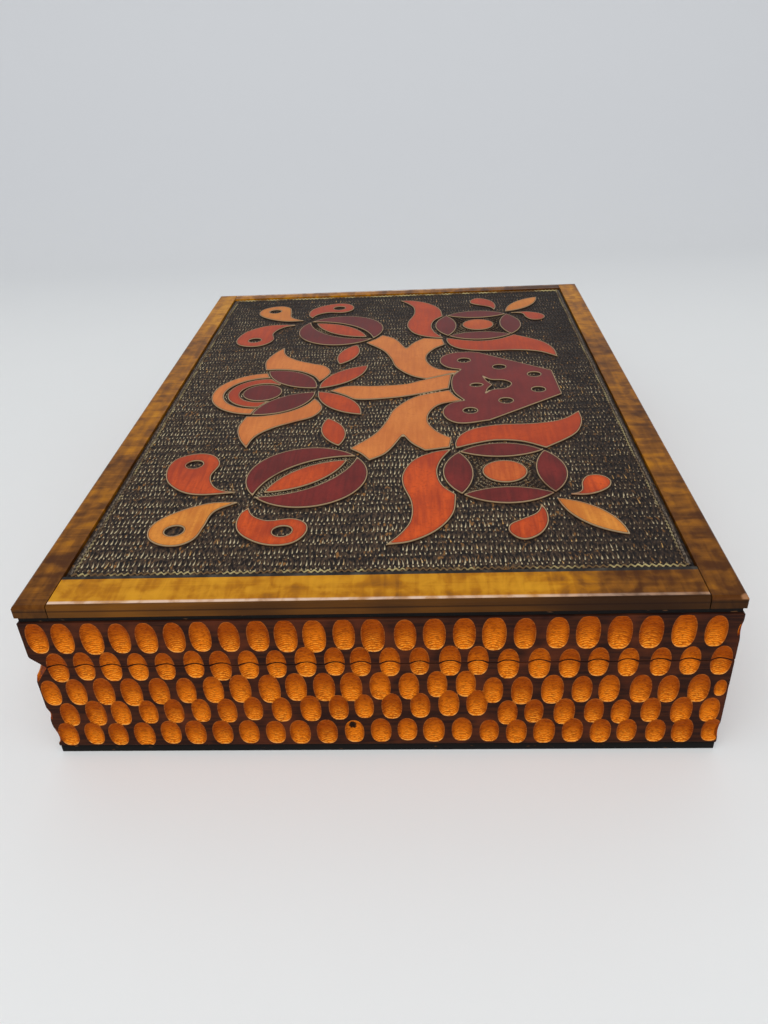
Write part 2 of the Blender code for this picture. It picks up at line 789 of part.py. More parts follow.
def flower_outlines(mirrored):
    """Return the outlines of a round flower: four segments of its circle and its eye."""
    centre = drawn(FLOWER_CENTRE_SHARE, mirrored)
    outlines = [circle(centre, FLOWER_EYE_SHARE, CIRCLE_SIDES)]
    for number in range(4):
        turns = [math.radians(90 * number + quarter) for quarter in (-45, 45)]
        tips = [centre + Vector((math.cos(turn), math.sin(turn))) * FRUIT_RADIUS_SHARE for turn in turns]
        rim = arc(*tips, -QUARTER_CIRCLE_SHARE)
        outlines.append(rim + arc(*reversed(tips), -FLOWER_SEGMENT_BULGE_SHARE))
    return outlines


def ring_outlines():
    """Return the outlines of the two open rings."""
    centre = drawn(RING_CENTRE_SHARE)
    opening = math.radians(RING_END_DEGREES)
    outlines = []
    for inner, outer in (INNER_RING_SHARES, OUTER_RING_SHARES):
        step = (math.tau - 2 * opening) / CIRCLE_SIDES
        turns = [opening + step * number for number in range(CIRCLE_SIDES + 1)]
        ways = [Vector((-math.sin(turn), -math.cos(turn))) for turn in turns]
        out = [centre + way * outer for way in ways]
        back = [centre + way * inner for way in reversed(ways)]
        outlines.append(out + back)
    return outlines


def laid_out(islands, holes=()):
    """Return the drawing's islands, drawn in a little, and its holes, as they lie on the panel."""
    solid = [inset(on_panel(outline), OUTLINE_INSET) for outline in islands]
    return solid + [on_panel(outline) for outline in holes]


def middle_outlines():
    """Return the outlines of the unpaired islands, and of the holes sunk into them."""
    islands = [
        smooth_outline(STEM_SHARES),
        smooth_outline(VASE_SHARES),
        circle(drawn(RING_CENTRE_SHARE), RING_DISC_SHARE, CIRCLE_SIDES),
    ]
    holes = [circle(drawn(share), VASE_HOLE_SHARE, HOLE_SIDES) for share in VASE_HOLE_SHARES]
    holes.append(smooth_outline(TULIP_SHARES))
    holes.append(leaf_outline(*TULIP_BUD_SHARES))
    return laid_out(islands, holes)


def paired_outlines(mirrored):
    """Return the outlines of the islands of one half but its branch, and of their holes."""
    traced = (
        UPPER_DROP_SHARES,
        LOWER_DROP_SHARES,
        MIDDLE_DROP_SHARES,
        FLOWER_SIDE_PETAL_SHARES,
        FLOWER_TOP_PETAL_SHARES,
        LOW_SMALL_DROP_SHARES,
        RIGHT_SMALL_DROP_SHARES,
        RING_PETAL_SHARES,
    )
    islands = [smooth_outline(runs, mirrored) for runs in traced]
    islands.extend(leaf_outline(*shares, mirrored) for shares in (*PAIRED_LEAF_SHARES, RING_LEAF_SHARES))
    islands.extend(fruit_outlines(mirrored))
    islands.extend(flower_outlines(mirrored))
    holes = [circle(drawn(share, mirrored), DROP_HOLE_SHARE, HOLE_SIDES) for share in PAIRED_HOLE_SHARES]
    return laid_out(islands, holes)


def add_prisms(shop, name, outlines, low, high):
    """Make hidden prisms from closed outlines: one flat 2D curve, made a mesh."""
    curve = bpy.data.curves.new(name, "CURVE")
    curve.dimensions = "2D"
    curve.fill_mode = "BOTH"
    curve.extrude = (high - low) / 2
    for outline in outlines:
        spline = curve.splines.new("POLY")
        spline.points.add(len(outline) - 1)
        spline.use_cyclic_u = True
        for spline_point, point in zip(spline.points, outline):
            spline_point.co = (point.x, point.y, 0, 1)
    drawn = bpy.data.objects.new(name, curve)
    bm = bmesh.new()
    bm.from_mesh(bpy.data.meshes.new_from_object(drawn))
    bmesh.ops.remove_doubles(bm, verts=bm.verts, dist=WELD_DISTANCE)
    bmesh.ops.recalc_face_normals(bm, faces=bm.faces)
    bpy.data.objects.remove(drawn)
    return shop.add_cutter(name, bm, Vector((0, 0, (low + high) / 2)))


def add_relief(shop, panel, name, outlines, low, high, neighbours=()):
    """Raise a group of islands from the panel, cut back where their neighbours lie over them."""
    islands = add_prisms(shop, name, outlines, low, high)
    for number, neighbour in enumerate(neighbours):
        room = [inset(on_panel(neighbour), -OUTLINE_INSET)]
        cut(islands, add_prisms(shop, f"{name}_room_{number}", room, RAIL_BOTTOM, high + CUT_OVERRUN))
    join(panel, islands)


def make_panel(shop):
    """Make the panel that lies inside the frame, with its relief standing on a sunk ground."""
    low_x = NEAR_RAIL_WIDTH - BOX_LENGTH / 2 + JOINT_GAP
    high_x = BOX_LENGTH / 2 - FAR_RAIL_WIDTH - JOINT_GAP
    half_y = BOX_WIDTH / 2 - LONG_RAIL_WIDTH - JOINT_GAP
    top = RAIL_BOTTOM + RAIL_THICKNESS - PANEL_SINK
    thickness = top - RELIEF_DEPTH - RAIL_BOTTOM
    middle = RAIL_BOTTOM + thickness / 2
    place = Vector(((low_x + high_x) / 2, 0, middle))
    ground = block((high_x - low_x, 2 * half_y, thickness))
    panel = shop.add("lid_panel", ground, CARVED_PANEL, place, True)
    ring_leaves = [leaf_outline(*RING_LEAF_SHARES, mirrored) for mirrored in (False, True)]
    rings = [on_panel(outline) for outline in ring_outlines()]
    add_relief(shop, panel, "relief_rings", rings, middle, top, ring_leaves)
    stem = smooth_outline(STEM_SHARES)
    for word, mirrored in (("near", False), ("far", True)):
        branch = laid_out([smooth_outline(BRANCH_SHARES, mirrored)])
        add_relief(shop, panel, f"relief_{word}_branch", branch, middle, top, [stem])
        add_relief(shop, panel, f"relief_{word}", paired_outlines(mirrored), middle, top)
    add_relief(shop, panel, "relief_middle", middle_outlines(), middle, top)
    return panel


def along_x():
    """Return the turn that lays a rod along X."""
    return (0, math.radians(90), 0)


def make_leaf(shop, name, centre_x, on_lid, knuckles, cleared):
    """Make one hinge leaf: a plate let into the wall's edge, with its knuckles round the pin.

    knuckles and cleared are spans along X, from the hinge's middle: the leaf's own knuckles, and
    the room for those of the other leaf.
    """
    side = 1 if on_lid else -1
    inner_z = PIN_Z + side * SEAM_GAP / 2
    plate_z = inner_z + side * LEAF_THICKNESS / 2
    place = Vector((centre_x, PIN_Y - LEAF_REACH / 2, plate_z))
    leaf = shop.add(name, block((HINGE_LENGTH, LEAF_REACH, LEAF_THICKNESS)), BRASS, place, on_lid)
    for number, (low, high) in enumerate(cleared):
        room = rod(BARREL_RADIUS + JOINT_GAP, high - low, BARREL_SIDES)
        at = Vector((centre_x + (low + high) / 2, PIN_Y, PIN_Z))
        cut(leaf, shop.add_cutter(f"{name}_room_{number}", room, at, along_x()))
    for number, (low, high) in enumerate(knuckles):
        barrel = rod(BARREL_RADIUS, high - low, BARREL_SIDES)
        at = Vector((centre_x + (low + high) / 2, PIN_Y, PIN_Z))
        join(leaf, shop.add_cutter(f"{name}_knuckle_{number}", barrel, at, along_x()))
    bore = rod(PIN_RADIUS + PIN_CLEARANCE, HINGE_LENGTH + 2 * CUT_OVERRUN, BARREL_SIDES)
    cut(leaf, shop.add_cutter(f"{name}_bore", bore, Vector((centre_x, PIN_Y, PIN_Z)), along_x()))
    for number, sign in enumerate((-1, 1)):
        wide = SCREW_HEAD_RADIUS + SCREW_CLEARANCE
        narrow = SCREW_SHANK_RADIUS + SCREW_CLEARANCE
        slope = (wide - narrow) / LEAF_THICKNESS
        reach = SEAM_GAP / 2
        radii = (narrow - slope * reach, wide + slope * reach)
        sink = rod(radii[on_lid], LEAF_THICKNESS + 2 * reach, SCREW_SIDES, radii[not on_lid])
        at = Vector((centre_x + sign * SCREW_OFFSET, PIN_Y - SCREW_SETBACK, plate_z))
        cut(leaf, shop.add_cutter(f"{name}_sink_{number}", sink, at))
    return leaf


def make_pin(shop, name, centre_x):
    """Make a hinge pin, held by the base leaf's knuckles."""
    pin = rod(PIN_RADIUS, HINGE_LENGTH + 2 * PIN_OVERHANG, BARREL_SIDES)
    bmesh.ops.rotate(pin, matrix=Matrix.Rotation(math.radians(90), 3, "Y"), verts=pin.verts)
    return shop.add(name, pin, BRASS, Vector((centre_x, PIN_Y, PIN_Z)), False)


def make_screw(shop, name, place, on_lid):
    """Make a countersunk wood screw, turned from its profile, with its head at the seam."""
    head_depth = LEAF_THICKNESS
    profile = (
        (0, 0),
        (SCREW_HEAD_RADIUS, 0),
        (SCREW_SHANK_RADIUS, -head_depth),
        (SCREW_SHANK_RADIUS, SCREW_TIP_LENGTH - SCREW_LENGTH),
        (0, -SCREW_LENGTH),
    )
    bm = bmesh.new()
    verts = [bm.verts.new((radius, 0, height)) for radius, height in profile]
    for start, end in zip(verts, verts[1:]):
        bm.edges.new((start, end))
    screw = shop.add(name, bm, BRASS, place, on_lid)
    if on_lid:
        screw.rotation_euler = (math.radians(180), 0, 0)
    turning = screw.modifiers.new("turning", "SCREW")
    turning.steps = SCREW_SIDES
    turning.render_steps = SCREW_SIDES
    turning.use_merge_vertices = True
    turning.merge_threshold = WELD_DISTANCE
    return screw


def cut_hinge_seat(shop, wall, name, centre_x, on_lid):
    """Cut the recess for a leaf, the hollow for the barrel and the two screw holes."""
    side = 1 if on_lid else -1
    edge_z = PIN_Z + side * SEAM_GAP / 2
    depth = LEAF_THICKNESS + JOINT_GAP
    reach = LEAF_REACH + JOINT_GAP
    tall = depth + SEAM_GAP / 2
    size = (HINGE_LENGTH + 2 * JOINT_GAP, reach + PIN_INSET + CUT_OVERRUN, tall)
    middle_y = PIN_Y + (PIN_INSET + CUT_OVERRUN - reach) / 2
    at = Vector((centre_x, middle_y, edge_z + side * (depth - tall / 2)))
    cut(wall, shop.add_cutter(f"{name}_seat", block(size), at))
    hollow = rod(BARREL_RADIUS + JOINT_GAP, HINGE_LENGTH + 2 * JOINT_GAP + 2 * PIN_OVERHANG, BARREL_SIDES)
    cut(wall, shop.add_cutter(f"{name}_hollow", hollow, Vector((centre_x, PIN_Y, PIN_Z)), along_x()))
    for number, sign in enumerate((-1, 1)):
        long = SCREW_LENGTH + JOINT_GAP
        hole = rod(SCREW_SHANK_RADIUS + SCREW_CLEARANCE, long, SCREW_SIDES)
        x = centre_x + sign * SCREW_OFFSET
        at = Vector((x, PIN_Y - SCREW_SETBACK, edge_z + side * long / 2))
        cut(wall, shop.add_cutter(f"{name}_hole_{number}", hole, at))


def make_hinge(shop, name, centre_x, base_wall, lid_wall):
    """Make a hinge of two leaves, a pin and four screws, and its seats in the back walls."""
    half = HINGE_LENGTH / 2
    third = HINGE_LENGTH / 6
    slack = JOINT_GAP / 2
    middle = ((-third + slack, third - slack),)
    outer = ((-half, -third - slack), (third + slack, half))
    middle_room = ((-third - slack, third + slack),)
    outer_room = ((-half - slack, -third + slack), (third - slack, half + slack))
    make_leaf(shop, f"{name}_base_leaf", centre_x, False, outer, middle_room)
    make_leaf(shop, f"{name}_lid_leaf", centre_x, True, middle, outer_room)
    make_pin(shop, f"{name}_pin", centre_x)
    for on_lid, word, wall in ((False, "base", base_wall), (True, "lid", lid_wall)):
        cut_hinge_seat(shop, wall, f"{name}_{word}", centre_x, on_lid)
        side = 1 if on_lid else -1
        for letter, sign in (("a", -1), ("b", 1)):
            x = centre_x + sign * SCREW_OFFSET
            place = Vector((x, PIN_Y - SCREW_SETBACK, PIN_Z + side * SEAM_GAP / 2))
            make_screw(shop, f"{name}_{word}_screw_{letter}", place, on_lid)


def main():
    """Build the box."""
    clear_scene()
    shop = Shop()
    make_base_plate(shop)
    base_walls = make_walls(shop, "base", BASE_WALL_BOTTOM, BASE_WALL_HEIGHT, False)
    lid_walls = make_walls(shop, "lid", LID_WALL_BOTTOM, LID_WALL_HEIGHT, True)
    carve_walls(shop, base_walls, lid_walls)
    make_backing(shop)
    make_frame(shop)
    make_panel(shop)
    for name, sign in (("left_hinge", -1), ("right_hinge", 1)):
        make_hinge(shop, name, sign * HINGE_SPACING / 2, base_walls["back"], lid_walls["back"])


main()
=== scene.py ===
"""The looks of the carved trinket box: finishes, fine carving, floor, light and camera.

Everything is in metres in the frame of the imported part: +X runs the long way, the hinges are at the
back, at +Y, and +Z is up. The camera stands at the -X end, and near and far are meant from there.
"""

from __future__ import annotations

import logging
import math
import random
from collections.abc import Iterable, Sequence
from dataclasses import dataclass, field, replace
from enum import Enum

import bmesh
import bpy
import numpy as np
from mathutils import Matrix, Vector
from mathutils.geometry import interpolate_bezier


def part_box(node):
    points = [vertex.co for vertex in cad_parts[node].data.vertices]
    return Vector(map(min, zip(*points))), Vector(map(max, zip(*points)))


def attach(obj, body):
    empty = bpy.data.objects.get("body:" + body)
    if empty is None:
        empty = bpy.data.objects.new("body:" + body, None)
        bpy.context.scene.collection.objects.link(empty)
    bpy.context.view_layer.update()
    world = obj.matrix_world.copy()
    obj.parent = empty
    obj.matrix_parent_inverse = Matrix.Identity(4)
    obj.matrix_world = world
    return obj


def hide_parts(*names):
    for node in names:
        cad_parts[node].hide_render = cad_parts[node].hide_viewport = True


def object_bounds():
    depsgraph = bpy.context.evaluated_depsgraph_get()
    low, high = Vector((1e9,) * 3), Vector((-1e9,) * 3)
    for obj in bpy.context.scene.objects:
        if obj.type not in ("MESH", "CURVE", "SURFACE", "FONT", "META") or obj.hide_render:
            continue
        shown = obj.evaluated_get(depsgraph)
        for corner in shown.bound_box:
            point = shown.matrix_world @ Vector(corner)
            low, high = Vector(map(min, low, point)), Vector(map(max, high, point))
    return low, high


LOG = logging.getLogger("trinket_box")
MM = 0.001

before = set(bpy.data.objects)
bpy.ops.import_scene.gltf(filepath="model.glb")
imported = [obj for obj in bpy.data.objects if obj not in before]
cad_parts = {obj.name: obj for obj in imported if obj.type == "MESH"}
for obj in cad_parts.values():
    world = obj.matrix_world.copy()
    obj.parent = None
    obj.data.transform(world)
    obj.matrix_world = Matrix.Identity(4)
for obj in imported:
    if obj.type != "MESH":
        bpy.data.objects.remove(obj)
CAD_LOW, CAD_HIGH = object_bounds()

# The boards, from the frame.
PANEL_LOW, PANEL_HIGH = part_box("lid_panel")
NEAR_RAIL_LOW, NEAR_RAIL_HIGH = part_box("lid_rail_left")
FAR_RAIL_LOW, FAR_RAIL_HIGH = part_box("lid_rail_right")
FRONT_RAIL_LOW, FRONT_RAIL_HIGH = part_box("lid_rail_front")
BACK_RAIL_LOW, BACK_RAIL_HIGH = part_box("lid_rail_back")
BASE_WALL_LOW, BASE_WALL_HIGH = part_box("base_wall_left")
LID_WALL_LOW, LID_WALL_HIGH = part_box("lid_wall_left")
BOX_LENGTH = FRONT_RAIL_HIGH.x - FRONT_RAIL_LOW.x
BOX_WIDTH = BACK_RAIL_HIGH.y - FRONT_RAIL_LOW.y
WALL_THICKNESS = BASE_WALL_HIGH.x - BASE_WALL_LOW.x
LONG_RAIL_WIDTH = BACK_RAIL_HIGH.y - BACK_RAIL_LOW.y
NEAR_RAIL_WIDTH = NEAR_RAIL_HIGH.x - NEAR_RAIL_LOW.x
FAR_RAIL_WIDTH = FAR_RAIL_HIGH.x - FAR_RAIL_LOW.x
SEAM_HEIGHT = (BASE_WALL_HIGH.z + LID_WALL_LOW.z) / 2
PIN_LOW, PIN_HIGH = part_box("left_hinge_pin")
HINGE_LINE = (PIN_LOW + PIN_HIGH) / 2
JOINT_GAP = 0.3 * MM

# The lid's relief, as deep as the part's source has it.
RELIEF_DEPTH = 0.7 * MM
GROUND_HEIGHT = PANEL_HIGH.z - RELIEF_DEPTH


class Side(Enum):
    """A side of the box: its name, and its turn about +Z in degrees."""

    FRONT = ("front", 0.0)
    RIGHT = ("right", 90.0)
    BACK = ("back", 180.0)
    LEFT = ("left", 270.0)

    @property
    def turn(self) -> float:
        """Return the turn about +Z in radians."""
        return math.radians(self.value[1])

    @property
    def length(self) -> float:
        """Return the length of the side along the box."""
        return BOX_LENGTH if self in (Side.FRONT, Side.BACK) else BOX_WIDTH

    @property
    def reach(self) -> float:
        """Return how far the side's face stands from the middle of the box."""
        return BOX_WIDTH / 2 if self in (Side.FRONT, Side.BACK) else BOX_LENGTH / 2

    def next(self) -> Side:
        """Return the side at the right-hand corner, seen from outside."""
        order = list(Side)
        return order[(order.index(self) + 1) % len(order)]

    def before(self) -> Side:
        """Return the side at the left-hand corner, seen from outside."""
        order = list(Side)
        return order[order.index(self) - 1]


class Half(Enum):
    """The two halves of the box, which are the part's two bodies."""

    BASE = "base"
    LID = "lid"


# ---- shader helpers ----


class Wire:
    """A node's output socket, with operators that add Math nodes."""

    def __init__(self, paint: Paint, socket: bpy.types.NodeSocket) -> None:
        """Hold the material's node builder and the socket."""
        self.paint = paint
        self.socket = socket

    def _math(self, operation: str, first: Wire | float, second: Wire | float) -> Wire:
        """Return the result of a Math node."""
        return self.paint.node("ShaderNodeMath", {"operation": operation}, {0: first, 1: second})

    def __add__(self, other: Wire | float) -> Wire:
        """Return the sum."""
        return self._math("ADD", self, other)

    def __radd__(self, other: float) -> Wire:
        """Return the sum."""
        return self._math("ADD", other, self)

    def __sub__(self, other: Wire | float) -> Wire:
        """Return the difference."""
        return self._math("SUBTRACT", self, other)

    def __rsub__(self, other: float) -> Wire:
        """Return a number less this value."""
        return self._math("SUBTRACT", other, self)

    def __mul__(self, other: Wire | float) -> Wire:
        """Return the product."""
        return self._math("MULTIPLY", self, other)

    def __rmul__(self, other: float) -> Wire:
        """Return the product."""
        return self._math("MULTIPLY", other, self)

    def __truediv__(self, other: Wire | float) -> Wire:
        """Return the quotient."""
        return self._math("DIVIDE", self, other)

    def power(self, other: float) -> Wire:
        """Return this value to a power."""
        return self._math("POWER", self, other)

    def most(self, other: Wire | float) -> Wire:
        """Return the greater of two values."""
        return self._math("MAXIMUM", self, other)

    def wave(self) -> Wire:
        """Return the sine."""
        return self._math("SINE", self, 0.0)

    def ramp(self, low: float, high: float, start: float = 0.0, end: float = 1.0) -> Wire:
        """Return a smooth step from start at low to end at high.

        Args:
            low: Where the step begins.
            high: Where it ends.
            start: The value before it.
            end: The value after it.

        Returns:
            The stepped value.
        """
        return self.paint.node(
            "ShaderNodeMapRange",
            {"interpolation_type": "SMOOTHSTEP"},
            {"Value": self, "From Min": low, "From Max": high, "To Min": start, "To Max": end},
        )


    def band(self, low: float, rise: float, fall: float, high: float) -> Wire:
        """Return 1 between rise and fall, and 0 below low and above high."""
        return self.ramp(low, rise) * self.ramp(fall, high, 1.0, 0.0)

    def size(self) -> Wire:
        """Return this value without its sign."""
        return self._math("ABSOLUTE", self, 0.0)


Colour = tuple[float, float, float]


class Paint:
    """Builds one Principled material from nodes."""

    def __init__(self, name: str) -> None:
        """Start a material of this name."""
        self.material = bpy.data.materials.new(name)
        self.material.use_nodes = True
        self.tree = self.material.node_tree
        self.shader = self.tree.nodes["Principled BSDF"]

    def node(
        self, kind: str, settings: dict[str, object], inputs: dict[int | str, object], output: int | str = 0
    ) -> Wire:
        """Add a node.

        Args:
            kind: The node's type.
            settings: Its properties, set before its sockets.
            inputs: Values or wires by socket name or number.
            output: The socket that is wanted.

        Returns:
            The wanted output.
        """
        made = self.tree.nodes.new(kind)
        for name, value in settings.items():
            if name == "stops":
                self._set_stops(made.color_ramp, value)
            else:
                setattr(made, name, value)
        for name, value in inputs.items():
            if isinstance(value, Wire):
                self.tree.links.new(value.socket, made.inputs[name])
            elif value is not None:
                made.inputs[name].default_value = value
        return Wire(self, made.outputs[output])

    @staticmethod
    def _set_stops(ramp: bpy.types.ColorRamp, stops: Sequence[tuple[float, Colour]]) -> None:
        """Set a ramp's stops."""
        while len(ramp.elements) < len(stops):
            ramp.elements.new(1.0)
        for element, (place, colour) in zip(ramp.elements, stops):
            element.position = place
            element.color = (*colour, 1.0)

    def place(self) -> Wire:
        """Return the Object coordinates."""
        return self.node("ShaderNodeTexCoord", {}, {}, "Object")

    def axis(self, name: str) -> Wire:
        """Return one of the Object coordinates, X, Y or Z."""
        return self.node("ShaderNodeSeparateXYZ", {}, {0: self.place()}, name)

    def attribute(self, name: str) -> Wire:
        """Return the piece's own float attribute."""
        return self.node("ShaderNodeAttribute", {"attribute_name": name}, {}, "Fac")

    def stretched(self, scale: tuple[float, float, float], turn: float = 0.0) -> Wire:
        """Return Object coordinates scaled, and first turned about Z."""
        return self.node(
            "ShaderNodeMapping",
            {"vector_type": "POINT"},
            {"Vector": self.place(), "Scale": scale, "Rotation": (0.0, 0.0, turn)},
        )

    def noise(self, at: Wire, scale: float, detail: float = 3.0, warp: float = 0.0) -> Wire:
        """Return a noise from 0 to 1."""
        return self.node(
            "ShaderNodeTexNoise",
            {},
            {"Vector": at, "Scale": scale, "Detail": detail, "Distortion": warp},
            "Fac",
        )

    def colours(self, value: Wire, *stops: tuple[float, Colour]) -> Wire:
        """Return a colour from a ramp."""
        return self.node("ShaderNodeValToRGB", {"stops": stops}, {"Fac": value}, "Color")

    def blend(self, share: Wire | float, first: Wire | Colour, second: Wire | Colour) -> Wire:
        """Return two colours mixed, with this share of the second."""
        pair = [value if isinstance(value, Wire) else (*value, 1.0) for value in (first, second)]
        return self.node(
            "ShaderNodeMix",
            {"data_type": "RGBA", "clamp_result": True},
            {"Factor": share, 6: pair[0], 7: pair[1]},
            2,
        )

    def bump(self, height: Wire, strength: float, distance: float) -> Wire:
        """Return a normal from a height."""
        return self.node(
            "ShaderNodeBump", {}, {"Height": height, "Strength": strength, "Distance": distance}, "Normal"
        )

    def finish(self, **sockets: object) -> bpy.types.Material:
        """Set the shader's sockets, whose names are written with underscores.

        Args:
            **sockets: Wires or constants.

        Returns:
            The material.
        """
        for name, value in sockets.items():
            socket = self.shader.inputs[name.replace("_", " ")]
            if isinstance(value, Wire):
                self.tree.links.new(value.socket, socket)
            elif isinstance(value, tuple) and len(value) == 3:
                socket.default_value = (*value, 1.0)
            else:
                socket.default_value = value
        return self.material


# ---- finishes ----


@dataclass(frozen=True)
class GougedStain:
    """Dark stain over the walls, cut through by gouge cuts that show orange wood."""

    land: Colour = (0.052, 0.017, 0.0085)
    land_deep: Colour = (0.022, 0.009, 0.007)
    rust: Colour = (0.125, 0.030, 0.012)
    # Painted light and shade on the cuts: a cut's upper end, which faces down, is darkened as painted shade,
    # and its lower end, which faces up, is lightened as painted light.
    shaded_cut_high: Colour = (0.355, 0.066, 0.0025)
    lit_cut_low: Colour = (0.760, 0.185, 0.0050)
    # Painted shade at a cut's sides and between its ridges, and also the colour of the dark streaks of the
    # wood's fibres.
    cut_shade_and_streak: Colour = (0.140, 0.018, 0.0015)
    # The colour of the painted glints on the ridge crests.
    glint: Colour = (0.90, 0.36, 0.035)
    # The colour of the painted highlight along a cut's lower rim.
    lip_highlight: Colour = (0.86, 0.41, 0.10)
    knot: Colour = (0.012, 0.006, 0.004)
    ridges: float = 54.0

    def make(self) -> bpy.types.Material:
        """Return the material."""
        paint = Paint("gouged_stain")
        rim = paint.attribute("rim_mm")
        fall = paint.attribute("fall")
        side = paint.attribute("side")
        tone = paint.attribute("tone")
        grain = paint.noise(paint.stretched((60.0, 60.0, 900.0)), 1.0, 4.0, 0.6)
        fibres = paint.noise(paint.stretched((700.0, 700.0, 1500.0)), 1.0, 3.0, 0.8)
        patches = paint.noise(paint.place(), 90.0, 3.0)
        land = paint.blend(grain.ramp(0.35, 0.7), self.land_deep, self.land)
        land = paint.blend(patches.ramp(0.45, 0.75, 0.0, 0.55), land, self.rust)
        bow = fall * self.ridges + side * side * 7.0 + fibres * 9.0 + patches * 6.0
        ridge = bow.wave()
        speckle = paint.noise(paint.place(), 1700.0, 2.0)
        # Painted light and shade: each cut is painted lighter towards its lower end and darker towards its
        # upper end.
        height = (fall + (grain - 0.5) * 0.6 + (tone - 0.5) * 0.80).ramp(-1.0, 0.85)
        cut = paint.blend(height, self.lit_cut_low, self.shaded_cut_high)
        # Painted shade at the cut's sides, then the dark streaks of the wood's fibres, then painted shade in
        # the troughs between the ridges.
        cut = paint.blend(side.power(2.0).ramp(0.18, 1.0, 0.0, 0.74), cut, self.cut_shade_and_streak)
        cut = paint.blend(fibres.ramp(0.47, 0.64, 0.0, 0.50), cut, self.cut_shade_and_streak)
        cut = paint.blend(ridge.ramp(-1.0, -0.1, 0.40, 0.0), cut, self.cut_shade_and_streak)
        # Painted highlight: glints on the ridge crests in the lower middle of each cut.
        low_middle = fall.ramp(-0.95, 0.35, 1.0, 0.0) * side.power(2.0).ramp(0.0, 0.55, 1.0, 0.0)
        cut = paint.blend(ridge.ramp(0.2, 0.95) * low_middle * speckle.ramp(0.62, 0.46) * 0.8, cut, self.glint)
        # Painted highlight along the cut's lower rim, which faces up to the light.
        lip_highlight_share = rim.band(0.02, 0.10, 0.14, 0.38) * fall.ramp(-0.92, -0.55, 0.85, 0.16)
        cut = paint.blend(lip_highlight_share * fibres.ramp(0.62, 0.40), cut, self.lip_highlight)
        around = (side + 0.15).power(2.0) + (fall - 0.50).power(2.0) + (speckle - 0.5) * 0.35
        spot = around.ramp(0.08, 0.22, 1.0, 0.0) * tone.ramp(-0.5, -0.4, 1.0, 0.0)
        cut = paint.blend(spot, cut, self.knot)
        inside = (rim + (fibres - 0.5) * 0.12).ramp(-0.05, 0.08)
        height_map = ridge * inside * 0.5 + fibres * 0.5 + grain * 0.3
        return paint.finish(
            Base_Color=paint.blend(inside, land, cut),
            Roughness=inside.ramp(0.0, 1.0, 0.42, 0.36) + (grain - 0.5) * 0.15,
            Specular_IOR_Level=0.025,
            Normal=paint.bump(height_map, 0.6, 0.15 * MM),
        )


